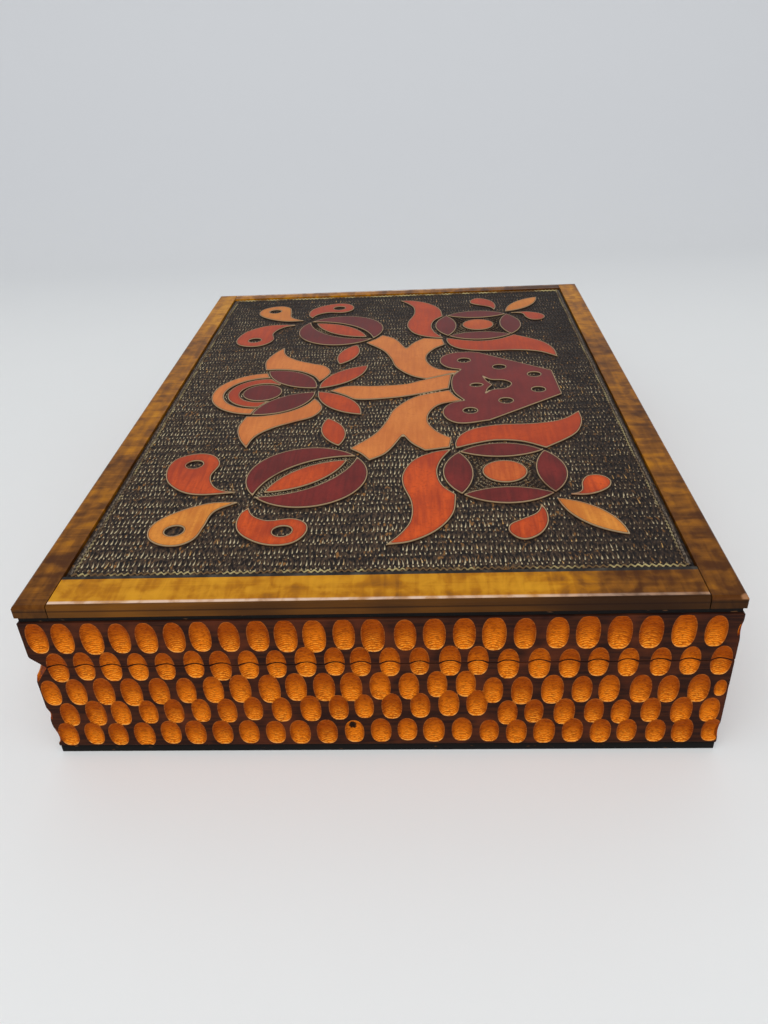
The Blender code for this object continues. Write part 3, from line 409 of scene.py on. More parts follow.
@dataclass(frozen=True)
class BorderWood:
    """Figured ochre wood under a glossy varnish, its ripples across the grain."""

    bright: Colour = (0.64, 0.290, 0.014)
    light: Colour = (0.43, 0.160, 0.0050)
    middle: Colour = (0.24, 0.086, 0.0080)
    dark: Colour = (0.075, 0.024, 0.0050)
    face: Colour = (0.062, 0.024, 0.0060)
    # The colour of the painted highlight along the short rails' rounded outer edge.
    arris: Colour = (0.78, 0.58, 0.46)
    seam: Colour = (0.020, 0.018, 0.017)
    seam_worn: Colour = (0.075, 0.066, 0.055)
    chip: Colour = (0.40, 0.19, 0.085)
    groove: Colour = (0.012, 0.005, 0.003)
    # The colour of the painted shade on the rails' edge faces towards -Y.
    face_shade: Colour = (0.016, 0.007, 0.004)
    along_x: bool = True

    def make(self) -> bpy.types.Material:
        """Return the material."""
        paint = Paint("border_wood_long" if self.along_x else "border_wood_short")
        x, y, height = (paint.axis(name) for name in "XYZ")
        outer_x, outer_y = x.size(), y.size()
        grain_scale = (14.0, 420.0, 200.0) if self.along_x else (420.0, 14.0, 200.0)
        ripple_scale = (330.0, 40.0, 30.0) if self.along_x else (40.0, 330.0, 30.0)
        grain = paint.noise(paint.stretched(grain_scale), 1.0, 5.0, 0.3)
        ripple = paint.noise(paint.stretched(ripple_scale, 0.22), 1.0, 2.0, 0.7)
        cloud = paint.noise(paint.place(), 22.0, 3.0)
        mottle = paint.noise(paint.place(), 170.0, 5.0, 0.5)
        figure = ripple.ramp(0.34, 0.66) * 0.12 + grain.ramp(0.34, 0.66) * 0.10 + cloud.ramp(0.32, 0.68) * 0.22
        # The figure's value, less the painted shade.
        value = figure + mottle.ramp(0.30, 0.70) * 0.24 + 0.24 - self._shade(x, y)
        top = paint.colours(
            value.ramp(0.0, 0.86), (0.0, self.dark), (0.34, self.middle), (0.66, self.light), (1.0, self.bright)
        )
        top = paint.blend(self._wear(outer_x, outer_y, cloud), top, self.dark)
        side = paint.blend((cloud * 0.6 + grain * 0.4).ramp(0.40, 0.66, 0.0, 0.6), self.face, self.middle)
        line = height.band(*(PANEL_HIGH.z - down * MM for down in (2.0, 1.8, 1.5, 1.3)))
        side = paint.blend(line * 0.6, side, self.groove)
        # Painted shade: the edge face is darkened towards -Y.
        side = paint.blend(y.ramp(CAD_LOW.y * 0.8, 0.0, 0.75, 0.0), side, self.face_shade)
        top_edge = PANEL_HIGH.z - 0.7 * MM
        drop = (height + (cloud - 0.5) * 0.3 * MM).ramp(top_edge - 0.4 * MM, top_edge, 1.0, 0.0)
        if self.along_x:
            colour = paint.blend(drop, top, side)
            corner_x, corner_y = (x - CAD_LOW.x) / MM, (y - CAD_LOW.y) / MM
            away = corner_x.power(2.0) + corner_y.power(2.0) * 0.5 + (mottle - 0.5) * 6.0
            high = height.ramp(PANEL_HIGH.z - 1.0 * MM, PANEL_HIGH.z - 0.5 * MM)
            colour = paint.blend(away.ramp(0.8, 2.6, 0.75, 0.0) * high, colour, self.chip)
        else:
            edge = BOX_LENGTH / 2 - 0.95 * MM
            beyond = (outer_x + (cloud - 0.5) * 0.4 * MM).ramp(edge - 0.3 * MM, edge)
            colour = paint.blend(drop.most(beyond), top, side)
            # Painted highlight on the top face just inside the rounded outer edge, broken up and fainter
            # towards -Y.
            shine = outer_x.band(edge - 1.55 * MM, edge - 0.95 * MM, edge - 0.3 * MM, edge)
            shine = shine * mottle.ramp(0.35, 0.60, 0.30, 0.85) * y.ramp(-0.08, -0.02, 0.35, 1.0)
            colour = paint.blend(shine, colour, self.arris)
            inner = NEAR_RAIL_HIGH.x
            strip = x.ramp(inner - 1.5 * MM, inner - 1.25 * MM) * (1.0 - x.ramp(-0.01, 0.0))
            colour = paint.blend(strip, colour, paint.blend(mottle.ramp(0.4, 0.7), self.seam, self.seam_worn))
        return paint.finish(
            Base_Color=colour,
            Roughness=(grain - 0.5) * 0.10 + 0.30,
            Specular_IOR_Level=0.06,
            Normal=paint.bump(grain * 0.6 + ripple * 0.4, 0.12, 0.12 * MM),
        )

    def _shade(self, x: Wire, y: Wire) -> Wire:
        """Return the painted shade, which makes the wood darker at places along and across the box."""
        if not self.along_x:
            shade = x.ramp(CAD_LOW.x * 0.5, CAD_HIGH.x * 0.5, 0.0, 0.16)
            shade = shade + y.ramp(CAD_LOW.y * 0.98, CAD_LOW.y * 0.40, 0.46, 0.03)
            return shade - y.ramp(0.0, CAD_HIGH.y * 0.6, 0.0, 0.05)
        shade = x.ramp(CAD_LOW.x * 0.85, CAD_LOW.x * 0.25, 0.31, 0.22)
        shade = shade - x.ramp(0.0, CAD_HIGH.x * 0.9, 0.0, 0.15)
        near = x.ramp(CAD_LOW.x * 0.95, 0.0, 0.17, 0.05)
        return shade + y.ramp(-0.05, 0.05, 1.0, 0.0) * near

    @staticmethod
    def _wear(outer_x: Wire, outer_y: Wire, cloud: Wire) -> Wire:
        """Return the share of dark wear, from the distances out, most at the edges and corners."""
        end, side = BOX_LENGTH / 2, BOX_WIDTH / 2
        edge = outer_x.ramp(end - 3.2 * MM, end - 0.2 * MM).most(outer_y.ramp(side - 2.6 * MM, side - 0.2 * MM))
        corner = outer_x.ramp(end - 16 * MM, end) * outer_y.ramp(side - 12 * MM, side)
        return (edge * 0.30 + corner * 0.5 + (cloud - 0.5) * 0.7).ramp(0.10, 1.0, 0.0, 0.80)


@dataclass(frozen=True)
class ScorchedGround:
    """The sunk ground of the panel: scorched brown with rust and tan flecks."""

    dark: Colour = (0.010, 0.007, 0.0065)
    brown: Colour = (0.088, 0.053, 0.031)
    rust: Colour = (0.34, 0.150, 0.035)

    def make(self) -> bpy.types.Material:
        """Return the material."""
        paint = Paint("scorched_ground")
        fine = paint.noise(paint.stretched((500.0, 1100.0, 500.0)), 1.0, 3.0)
        patches = paint.noise(paint.place(), 210.0, 3.0)
        colour = paint.blend(fine.ramp(0.38, 0.70), self.dark, self.brown)
        colour = paint.blend((fine * patches).ramp(0.34, 0.41, 0.0, 0.7), colour, self.rust)
        # Painted shade: the ground is darkened towards the far end and towards -Y.
        colour = paint.blend(paint.axis("X").ramp(-0.03, CAD_HIGH.x, 0.0, 0.6), colour, self.dark)
        colour = paint.blend(paint.axis("Y").ramp(CAD_LOW.y, -0.03, 0.5, 0.0), colour, self.dark)
        return paint.finish(
            Base_Color=colour,
            Roughness=0.6,
            Specular_IOR_Level=0.15,
            Normal=paint.bump(fine, 0.7, 0.2 * MM),
        )


@dataclass(frozen=True)
class StrokeWood:
    """Ridges of wood left between the tool strokes, their crests painted pale as highlights, most at their fat
    ends.
    """

    foot: Colour = (0.016, 0.010, 0.008)
    brown: Colour = (0.096, 0.060, 0.036)
    tan: Colour = (0.280, 0.210, 0.120)
    pale: Colour = (0.60, 0.50, 0.31)
    orange: Colour = (0.60, 0.330, 0.090)

    def make(self) -> bpy.types.Material:
        """Return the material."""
        paint = Paint("stroke_wood")
        tone = paint.attribute("tone")
        fat = paint.attribute("fat")
        rise = paint.axis("Z").ramp(GROUND_HEIGHT + 0.04 * MM, GROUND_HEIGHT + 0.24 * MM)
        fine = paint.noise(paint.place(), 1500.0, 2.0)
        patches = paint.noise(paint.place(), 70.0, 2.0)
        # Painted shade: the strokes are darkened towards the far end and towards -Y.
        far = paint.axis("X").ramp(-0.02, CAD_HIGH.x, 0.0, 0.40)
        far = far + paint.axis("Y").ramp(CAD_LOW.y, -0.03, 0.32, 0.0)
        value = tone * 0.38 + fat * 0.80 + (fine - 0.5) * 0.50 + (patches - 0.5) * 1.3 - 0.05 - far
        # Painted highlight: the crest's colour runs up to pale where the value is high.
        crest = paint.colours(
            value.ramp(-0.05, 0.95), (0.0, self.foot), (0.25, self.brown), (0.55, self.tan), (1.0, self.pale)
        )
        crest = paint.blend(tone.ramp(0.965, 0.985) * fine.ramp(0.40, 0.55), crest, self.orange)
        return paint.finish(
            Base_Color=paint.blend(rise, self.foot, crest),
            Roughness=0.45,
            Specular_IOR_Level=0.12,
        )


@dataclass(frozen=True)
class MotifStain:
    """A stained island of the relief: a pale rim, a thin scorched line inside it, then the stain."""

    name: str
    light: Colour
    deep: Colour
    rim: Colour = (0.42, 0.290, 0.155)
    scorch: Colour = (0.022, 0.009, 0.007)

    def make(self) -> bpy.types.Material:
        """Return the material."""
        paint = Paint(f"stain_{self.name}")
        edge = paint.attribute("edge_mm")
        grain = paint.noise(paint.stretched((70.0, 700.0, 100.0)), 1.0, 4.0, 0.3)
        cloud = paint.noise(paint.place(), 60.0, 3.0)
        speck = paint.noise(paint.place(), 900.0, 2.0)
        wobble = speck - 0.5
        stain = paint.blend((grain * 0.5 + cloud * 0.6).ramp(0.35, 0.75), self.deep, self.light)
        stain = paint.blend(speck.ramp(0.50, 0.72, 0.0, 0.45), stain, self.deep)
        # Painted shade: the stain is darkened towards the far end.
        stain = paint.blend(paint.axis("X").ramp(-0.085, -0.035, 0.0, 0.48), stain, self.deep)
        stain = paint.blend(edge.ramp(0.4, 2.2, 0.35, 0.0), stain, self.deep)
        line = (edge + wobble * 0.15).ramp(0.27, 0.33) * (edge + wobble * 0.2).ramp(0.40, 0.56, 1.0, 0.0)
        inside = paint.blend(line * 0.8, stain, self.scorch)
        rim_share = (edge + wobble * 0.12).ramp(0.25, 0.32, 1.0, 0.0) * cloud.ramp(0.28, 0.42, 0.55, 1.0)
        colour = paint.blend(rim_share, inside, self.rim)
        side = paint.axis("Z").ramp(GROUND_HEIGHT + 0.2 * MM, GROUND_HEIGHT + 0.6 * MM, 1.0, 0.0)
        colour = paint.blend(side, colour, self.scorch)
        return paint.finish(
            Base_Color=colour,
            Roughness=(grain - 0.5) * 0.12 + 0.36,
            Specular_IOR_Level=0.08,
            Coat_Weight=0.02,
            Coat_Roughness=0.2,
            Normal=paint.bump(grain * 0.4 - line * 1.0, 0.4, 0.2 * MM),
        )


@dataclass(frozen=True)
class BlackBoard:
    """Thin board painted black, with flecks of bare wood where the paint is worn."""

    def make(self) -> bpy.types.Material:
        """Return the material."""
        paint = Paint("black_board")
        fine = paint.noise(paint.stretched((260.0, 260.0, 900.0)), 1.0, 3.0)
        worn = fine.ramp(0.66, 0.74)
        colour = paint.blend(worn * 0.6, (0.0085, 0.0075, 0.007), (0.19, 0.085, 0.032))
        return paint.finish(
            Base_Color=colour,
            Roughness=fine * 0.2 + 0.5,
            Specular_IOR_Level=0.05,
            Normal=paint.bump(fine, 0.3, 0.1 * MM),
        )


@dataclass(frozen=True)
class InsideWood:
    """Plain wood inside the box, stained brown."""

    def make(self) -> bpy.types.Material:
        """Return the material."""
        paint = Paint("inside_wood")
        grain = paint.noise(paint.stretched((40.0, 40.0, 700.0)), 1.0, 4.0, 0.5)
        colour = paint.blend(grain.ramp(0.35, 0.7), (0.13, 0.055, 0.022), (0.27, 0.13, 0.052))
        return paint.finish(Base_Color=colour, Roughness=0.55, Normal=paint.bump(grain, 0.3, 0.15 * MM))


@dataclass(frozen=True)
class Brass:
    """Dull brass, browned in its hollows."""

    def make(self) -> bpy.types.Material:
        """Return the material."""
        paint = Paint("brass")
        fine = paint.noise(paint.place(), 700.0, 3.0)
        cloud = paint.noise(paint.place(), 180.0, 2.0)
        colour = paint.blend((fine * 0.5 + cloud * 0.5).ramp(0.4, 0.7), (0.26, 0.15, 0.05), (0.58, 0.40, 0.15))
        return paint.finish(
            Base_Color=colour,
            Metallic=1.0,
            Roughness=cloud.ramp(0.3, 0.7, 0.28, 0.5),
            Normal=paint.bump(fine, 0.15, 0.05 * MM),
        )


class Finishes:
    """Every material, made once."""

    def __init__(self) -> None:
        """Make the materials."""
        self.gouged = GougedStain().make()
        self.border_long = BorderWood(along_x=True).make()
        self.border_short = BorderWood(along_x=False).make()
        self.ground = ScorchedGround().make()
        self.stroke = StrokeWood().make()
        self.wave = WaveWood().make()
        self.black = BlackBoard().make()
        self.inside = InsideWood().make()
        self.brass = Brass().make()
        self.stains = {
            stain.name: stain.make()
            for stain in (
                MotifStain("orange", (0.78, 0.275, 0.060), (0.54, 0.145, 0.030)),
                MotifStain("eye", (0.66, 0.150, 0.028), (0.42, 0.065, 0.014)),
                MotifStain("red", (0.66, 0.092, 0.012), (0.34, 0.038, 0.010)),
                MotifStain("burgundy", (0.215, 0.022, 0.017), (0.105, 0.013, 0.011)),
                MotifStain("vase", (0.260, 0.032, 0.026), (0.135, 0.017, 0.015)),
                MotifStain("pale", (0.74, 0.290, 0.042), (0.52, 0.150, 0.020)),
            )
        }


# ---- mesh helpers ----


def finished(name: str, bm: bmesh.types.BMesh, materials: Sequence[bpy.types.Material]) -> bpy.types.Object:
    """Make an object from a bmesh, at the origin.

    Args:
        name: The piece's name.
        bm: Its mesh, which is freed.
        materials: Its materials, in slot order.

    Returns:
        The object.
    """
    mesh = bpy.data.meshes.new(name)
    bm.to_mesh(mesh)
    bm.free()
    for material in materials:
        mesh.materials.append(material)
    piece = bpy.data.objects.new(name, mesh)
    bpy.context.scene.collection.objects.link(piece)
    return piece


def block(size: Sequence[float], middle: Sequence[float]) -> bmesh.types.BMesh:
    """Return a box of a size round its middle."""
    bm = bmesh.new()
    bmesh.ops.create_cube(bm, size=1.0)
    bmesh.ops.scale(bm, vec=size, verts=bm.verts)
    bmesh.ops.translate(bm, vec=middle, verts=bm.verts)
    return bm


def only(items: Iterable[object], kind: type) -> list:
    """Return the items of one kind, such as the vertices of an operator's result."""
    return [item for item in items if isinstance(item, kind)]


def show(piece: bpy.types.Object, half: Half, slot: str, *replaced: str) -> None:
    """Let a piece ride on a half of the box, and hide the CAD nodes that it replaces."""
    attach(piece, half.value)
    if replaced:
        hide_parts(*replaced)


def set_smooth(mesh: bpy.types.Mesh, angle_degrees: float) -> None:
    """Shade a mesh smooth, but for edges sharper than an angle."""
    mesh.shade_smooth()
    mesh.set_sharp_from_angle(angle=math.radians(angle_degrees))


def coordinates(mesh: bpy.types.Mesh) -> np.ndarray:
    """Return a mesh's vertex places as rows of three."""
    values = np.empty(len(mesh.vertices) * 3, np.float64)
    mesh.vertices.foreach_get("co", values)
    return values.reshape(-1, 3)


def set_attribute(mesh: bpy.types.Mesh, name: str, values: np.ndarray) -> None:
    """Store a float for each vertex of a mesh."""
    attribute = mesh.attributes.new(name, "FLOAT", "POINT")
    attribute.data.foreach_set("value", values.astype(np.float32))


# ---- the carved walls ----


@dataclass(frozen=True)
class Scoop:
    """One gouge cut, in its wall's own axes.

    Attributes:
        x: Its middle along the wall, from the wall's middle.
        z: Its middle above the base wall's lower edge.
        half_width: Half its width.
        half_height: Half its height.
        depth: Its depth.
        tone: How light it is, from 0 to 1.
    """

    x: float
    z: float
    half_width: float
    half_height: float
    depth: float
    tone: float

    def shares(self, x: np.ndarray, z: np.ndarray) -> tuple[np.ndarray, np.ndarray, np.ndarray]:
        """Return places across and up the cut in half sizes, and how far out they are, 1 on its rim.

        Args:
            x: Places along the wall.
            z: Heights above the base wall's lower edge.

        Returns:
            The shares across, up and out. The cut's lower end is blunter than its upper end.
        """
        across = (x - self.x) / self.half_width
        up = (z - self.z) / self.half_height
        power = 2.15 + 0.35 * np.clip(-2 * up, 0, 1)
        return across, up, (np.abs(across) ** power + np.abs(up) ** power) ** (1 / power)

    def cut_at(self, x: np.ndarray, z: np.ndarray) -> np.ndarray:
        """Return the cut's depth at places on the wall, 0 outside it."""
        _, up, out = self.shares(x, z)
        return self.depth * np.maximum(1 - out**2, 0) * (1 - 0.42 * np.clip(up, -1, 1))


@dataclass(frozen=True)
class CutRow:
    """One row of cuts. Lengths are in metres, the shares as named.

    Attributes:
        height: Its height, a share of the carved height.
        tall: The height of its cuts, a share of the carved height.
        wide: The width of its cuts, a share of the pitch.
        first: The first cut's distance from the left end, a share of the pitch.
        last: The last cut's distance from the right end, a share of the pitch.
        crowd: How far its middle cuts stand to the left of an even spacing.
        climb: How far it climbs before it drops back to its height.
        extra: How many cuts it has beyond the even number.
    """

    height: float
    tall: float
    wide: float
    first: float
    last: float
    crowd: float = 0.0
    climb: float = 0.0
    extra: int = 0


@dataclass
class CutPattern:
    """The rows of gouge cuts all round the box, each wandering a little as in the photograph."""

    pitch: float = 8.3 * MM
    depth: float = 1.05 * MM
    stray: float = 0.2 * MM
    corner_depth: float = 0.8 * MM
    corner_standoff: float = 1.5 * MM
    notch_depth: float = 3.2 * MM
    notch_rise: float = 4.0 * MM
    notch_fall: float = 6.0 * MM
    hand_stray: float = 0.30 * MM
    hand_size_share: float = 0.06
    knot_place: tuple[float, float] = (-7.3 * MM, 6.4 * MM)
    drop_share: float = 0.66
    seed: int = 7
    rows: tuple[CutRow, ...] = (
        CutRow(0.885, 0.235, 0.775, 0.55, 0.78, crowd=2.9 * MM),
        CutRow(0.662, 0.224, 0.725, 0.96, 0.42, crowd=1.9 * MM, climb=1.2 * MM),
        CutRow(0.452, 0.219, 0.740, 0.39, 1.00, crowd=0.6 * MM, climb=2.4 * MM),
        CutRow(0.273, 0.206, 0.720, 0.82, 0.45, crowd=1.3 * MM, climb=3.4 * MM),
        CutRow(0.103, 0.200, 0.745, 0.51, 0.25, crowd=0.8 * MM, climb=1.0 * MM, extra=1),
    )
    small_row: int = 2
    small_place_share: float = 0.265
    small_size_share: float = 0.60
    corner_rows: dict[Side, tuple[int, ...]] = field(
        default_factory=lambda: {Side.FRONT: (1, 3), Side.RIGHT: (1, 3), Side.BACK: (3,), Side.LEFT: (0,)}
    )
    scoops: dict[Side, list[Scoop]] = field(default_factory=dict)

    def __post_init__(self) -> None:
        """Lay out the cuts of every side, in the order of the part's source."""
        chance = random.Random(self.seed)
        tones = random.Random(self.seed + 1)
        carved = LID_WALL_HIGH.z - BASE_WALL_LOW.z
        for side in Side:
            self.scoops[side] = []
            for number, row in enumerate(self.rows):
                low = row.first * self.pitch - side.length / 2
                high = side.length / 2 - row.last * self.pitch
                steps = round((high - low) / self.pitch) + row.extra
                cuts = [(low + (high - low) * step / steps, 1.0) for step in range(steps + 1)]
                if number == self.small_row:
                    cuts.append((side.length / 2 - self.small_place_share * self.pitch, self.small_size_share))
                for place, size in cuts:
                    share = (place + side.length / 2) / side.length
                    climb = row.climb * share / self.drop_share if share < self.drop_share else 0.0
                    x = place - row.crowd * math.sin(math.pi * share) + chance.uniform(-self.stray, self.stray)
                    z = row.height * carved + climb + chance.uniform(-self.stray, self.stray)
                    if abs(x) + size * self.pitch < side.length / 2:
                        x += tones.uniform(-self.hand_stray, self.hand_stray)
                        z += tones.uniform(-self.hand_stray, self.hand_stray)
                    size *= 1 + tones.uniform(-self.hand_size_share, self.hand_size_share)
                    half_width = size * row.wide * self.pitch / 2
                    half_height = size * row.tall * carved / 2
                    self.scoops[side].append(
                        Scoop(x, z, half_width, half_height, size * self.depth, tones.random())
                    )
        seen = self.scoops[Side.LEFT]
        nearest = min(seen, key=lambda scoop: math.dist((scoop.x, scoop.z), self.knot_place))
        seen[seen.index(nearest)] = replace(nearest, tone=-1.0)

    def field(self, side: Side, x: np.ndarray, z: np.ndarray) -> dict[str, np.ndarray]:
        """Return what the cuts make at places on a wall.

        Args:
            side: The side of the box.
            x: Places along the wall.
            z: Heights above the base wall's lower edge.

        Returns:
            The depth, the distance inside the nearest rim in millimetres, the place within that
            cut up and across from -1 to 1, and its tone.
        """
        depth = np.zeros_like(x)
        rim = np.full_like(x, -9.0)
        fall = np.zeros_like(x)
        side_share = np.zeros_like(x)
        tone = np.zeros_like(x)
        for scoop in self.scoops[side]:
            window = np.abs(x - scoop.x) < 1.8 * scoop.half_width
            window &= np.abs(z - scoop.z) < 1.8 * scoop.half_height
            index = np.nonzero(window)[0]
            if not len(index):
                continue
            across, up, radius = scoop.shares(x[index], z[index])
            radius = np.maximum(radius, 1e-3)
            reach = np.hypot(x[index] - scoop.x, z[index] - scoop.z)
            inside = reach * (1 / radius - 1) / MM
            inside = np.where(radius < 0.05, scoop.half_width / MM, inside)
            nearer = inside > rim[index]
            depth[index] = np.maximum(depth[index], scoop.cut_at(x[index], z[index]))
            rim[index] = np.where(nearer, inside, rim[index])
            fall[index] = np.where(nearer, up, fall[index])
            side_share[index] = np.where(nearer, across, side_share[index])
            tone[index] = np.where(nearer, scoop.tone, tone[index])
        return {"depth": depth, "rim_mm": rim, "fall": fall, "side": side_share, "tone": tone}

    def corner_field(self, side: Side, z: np.ndarray) -> dict[str, np.ndarray]:
        """Return how far the corner at a side's right-hand end is cut back.

        Args:
            side: The side on the left of the corner, seen from outside.
            z: Heights above the base wall's lower edge.

        Returns:
            How far the left and the right wall's faces end from the corner, how deep the carved
            surface meets the mitre, and whether bare wood shows there.
        """
        half_left = np.full_like(z, side.length / 2)
        half_right = np.full_like(z, -side.next().length / 2)
        left_depth = self.field(side, half_left, z)["depth"]
        right_depth = self.field(side.next(), half_right, z)["depth"]
        mitre = np.zeros_like(z)
        for _ in range(12):
            from_left = self.field(side, half_left - mitre, z)["depth"]
            from_right = self.field(side.next(), half_right + mitre, z)["depth"]
            mitre = np.maximum(from_left, from_right)
        left_back = np.maximum(right_depth, 0)
        right_back = np.maximum(left_depth, 0)
        for row in self.corner_rows[side]:
            carved = LID_WALL_HIGH.z - BASE_WALL_LOW.z
            half_width = self.rows[row].wide * self.pitch / 2
            up = (z - self.rows[row].height * carved) / (self.rows[row].tall * carved / 2)
            full = self.corner_standoff + self.corner_depth
            cut = np.maximum(full * (1 - up**2) - self.corner_standoff, 0)
            diagonal = np.zeros_like(z)
            for _ in range(20):
                here = full * (1 - (diagonal / half_width) ** 2 - up**2) - self.corner_standoff
                diagonal = 0.5 * diagonal + 0.5 * np.maximum(here, 0)
            left_back = np.maximum(left_back, diagonal * math.sqrt(2))
            right_back = np.maximum(right_back, diagonal * math.sqrt(2))
            mitre = np.maximum(mitre, cut / math.sqrt(2))
        bare = mitre > 0.35 * MM
        if side is Side.BACK:
            above = z - (SEAM_HEIGHT - BASE_WALL_LOW.z)
            share = np.where(above > 0, above / self.notch_rise, -above / self.notch_fall)
            chip = self.notch_depth * np.maximum(1 - share, 0)
            left_back = np.maximum(left_back, chip * math.sqrt(2))
            right_back = np.maximum(right_back, chip * math.sqrt(2))
            mitre = np.maximum(mitre, chip / math.sqrt(2))
            bare = np.where(chip > 0, (above < 0) & (chip > 0.3 * MM), bare)
        return {"left": left_back, "right": right_back, "mitre": mitre, "bare": bare}


@dataclass
class CarvedWall:
    """One mitred wall, with its outer face carved finely."""

    pattern: CutPattern
    side: Side
    half: Half
    spacing: float = 0.42 * MM
    arris: float = 0.22 * MM
    stop_degrees: float = 112.0
    hinge_spacing: float = 160.0 * MM
    hinge_length: float = 25.0 * MM
    barrel_radius: float = 1.7 * MM
    leaf_reach: float = 7.5 * MM
    leaf_thickness: float = 0.9 * MM
    seat_overrun: float = 3 * MM

    @property
    def name(self) -> str:
        """Return the name of the node that this wall stands for."""
        return f"{self.half.value}_wall_{self.side.value[0]}"

    def carved_face(self) -> bpy.types.Mesh:
        """Return the carved wall as a closed mesh in its own axes.

        The grid of the outer face is cut and its ends are fitted to the corners. Its border is then
        extruded over the arris and back to the inner face.

        Returns:
            The mesh, with its attributes.
        """
        low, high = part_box(self.name)
        bottom = low.z - BASE_WALL_LOW.z
        top = high.z - BASE_WALL_LOW.z
        half_length = self.side.length / 2
        columns = round(self.side.length / self.spacing)
        rows = max(8, round((top - bottom) / self.spacing))
        bm = bmesh.new()
        bmesh.ops.create_grid(bm, x_segments=columns, y_segments=rows, size=1.0)
        bmesh.ops.rotate(bm, cent=(0, 0, 0), matrix=Matrix.Rotation(math.radians(90), 3, "X"), verts=bm.verts)
        ring_layer = bm.verts.layers.int.new("ring")
        edges = [edge for edge in bm.edges if edge.is_boundary]
        arris_ring = bmesh.ops.extrude_edge_only(bm, edges=edges)
        arris_edges = [edge for edge in only(arris_ring["geom"], bmesh.types.BMEdge) if edge.is_boundary]
        back_ring = bmesh.ops.extrude_edge_only(bm, edges=arris_edges)
        for number, ring in enumerate((arris_ring, back_ring), start=1):
            for vert in only(ring["geom"], bmesh.types.BMVert):
                vert[ring_layer] = number
        back_edges = [edge for edge in bm.edges if edge.is_boundary]
        bmesh.ops.holes_fill(bm, edges=back_edges, sides=0)
        bmesh.ops.recalc_face_normals(bm, faces=bm.faces)
        mesh = bpy.data.meshes.new(self.name)
        bm.to_mesh(mesh)
        bm.free()
        self._shape(mesh, half_length, bottom, top)
        return mesh

    def _shape(self, mesh: bpy.types.Mesh, half_length: float, bottom: float, top: float) -> None:
        """Put a wall's vertices in place and store what its finish reads.

        Args:
            mesh: The grid with its two extruded borders.
            half_length: Half the wall's length.
            bottom: The height of its lower edge.
            top: The height of its upper edge.
        """
        places = coordinates(mesh)
        rings = np.empty(len(mesh.vertices), np.int32)
        mesh.attributes["ring"].data.foreach_get("value", rings)
        across = places[:, 0].copy()
        up = places[:, 2].copy()
        ends = np.abs(across) > 1 - 1e-6
        edge_rows = np.abs(up) > 1 - 1e-6
        z_face = bottom + self.arris + (up + 1) / 2 * (top - bottom - 2 * self.arris)
        z_full = bottom + (up + 1) / 2 * (top - bottom)
        z = np.where(rings == 0, z_face, np.where(edge_rows, z_full, z_face))
        right = self.pattern.corner_field(self.side, z)
        left = self.pattern.corner_field(self.side.before(), z)
        face_back = np.where(across > 0, right["left"], left["right"])
        mitre = np.where(across > 0, right["mitre"], left["mitre"]) + 0.10 * MM
        face_back = np.maximum(np.maximum(face_back, mitre + 0.12 * MM), 0.26 * MM)
        fade = np.clip((np.abs(across) * half_length - (half_length - 6 * MM)) / (6 * MM), 0, 1)
        sign = np.sign(across)
        x_face = across * half_length - sign * fade * face_back
        cuts = self.pattern.field(self.side, x_face, z)
        x_mitre = sign * (half_length - mitre)
        x_back = across * half_length - np.where(ends, sign * (WALL_THICKNESS + JOINT_GAP / 2), 0)
        x_back = np.clip(x_back, -half_length + WALL_THICKNESS, half_length - WALL_THICKNESS)
        x_arris = np.where(ends, x_mitre - sign * JOINT_GAP / 2, x_face)
        places[:, 0] = np.where(rings == 0, x_face, np.where(rings == 1, x_arris, x_back))
        depth_arris = np.where(ends, mitre, cuts["depth"] + self.arris * 0.8)
        places[:, 1] = np.where(rings == 0, cuts["depth"], np.where(rings == 1, depth_arris, WALL_THICKNESS))
        places[:, 2] = z
        mesh.vertices.foreach_set("co", places.ravel())
        mesh.attributes.remove(mesh.attributes["ring"])
        rim = np.where((rings == 2) | ((rings == 1) & edge_rows), -1.0, cuts["rim_mm"])
        bare = np.where(across > 0, right["bare"], left["bare"]) & ends & (rings < 2)
        rim = np.where(bare, 2.0, rim)
        set_attribute(mesh, "rim_mm", np.clip(rim, -2, 4))
        set_attribute(mesh, "fall", cuts["fall"])
        set_attribute(mesh, "side", cuts["side"])
        set_attribute(mesh, "tone", cuts["tone"])
        mesh.update()

    def place(self) -> Matrix:
        """Return the matrix from the wall's own axes to the box's."""
        turn = Matrix.Rotation(self.side.turn, 4, "Z")
        return turn @ Matrix.Translation((0, -self.side.reach, BASE_WALL_LOW.z))

    def plane_back_arris(self, bm: bmesh.types.BMesh) -> None:
        """Plane the arris beside the seam off a wall's mesh, on a plane through the hinge line."""
        angle = math.radians(self.stop_degrees / 2)
        up = -math.cos(angle) if self.half is Half.LID else math.cos(angle)
        geometry = [*bm.verts, *bm.edges, *bm.faces]
        result = bmesh.ops.bisect_plane(
            bm,
            geom=geometry,
            dist=0.001 * MM,
            plane_co=HINGE_LINE,
            plane_no=(0, math.sin(angle), up),
            clear_outer=True,
        )
        bmesh.ops.holes_fill(bm, edges=only(result["geom_cut"], bmesh.types.BMEdge), sides=0)

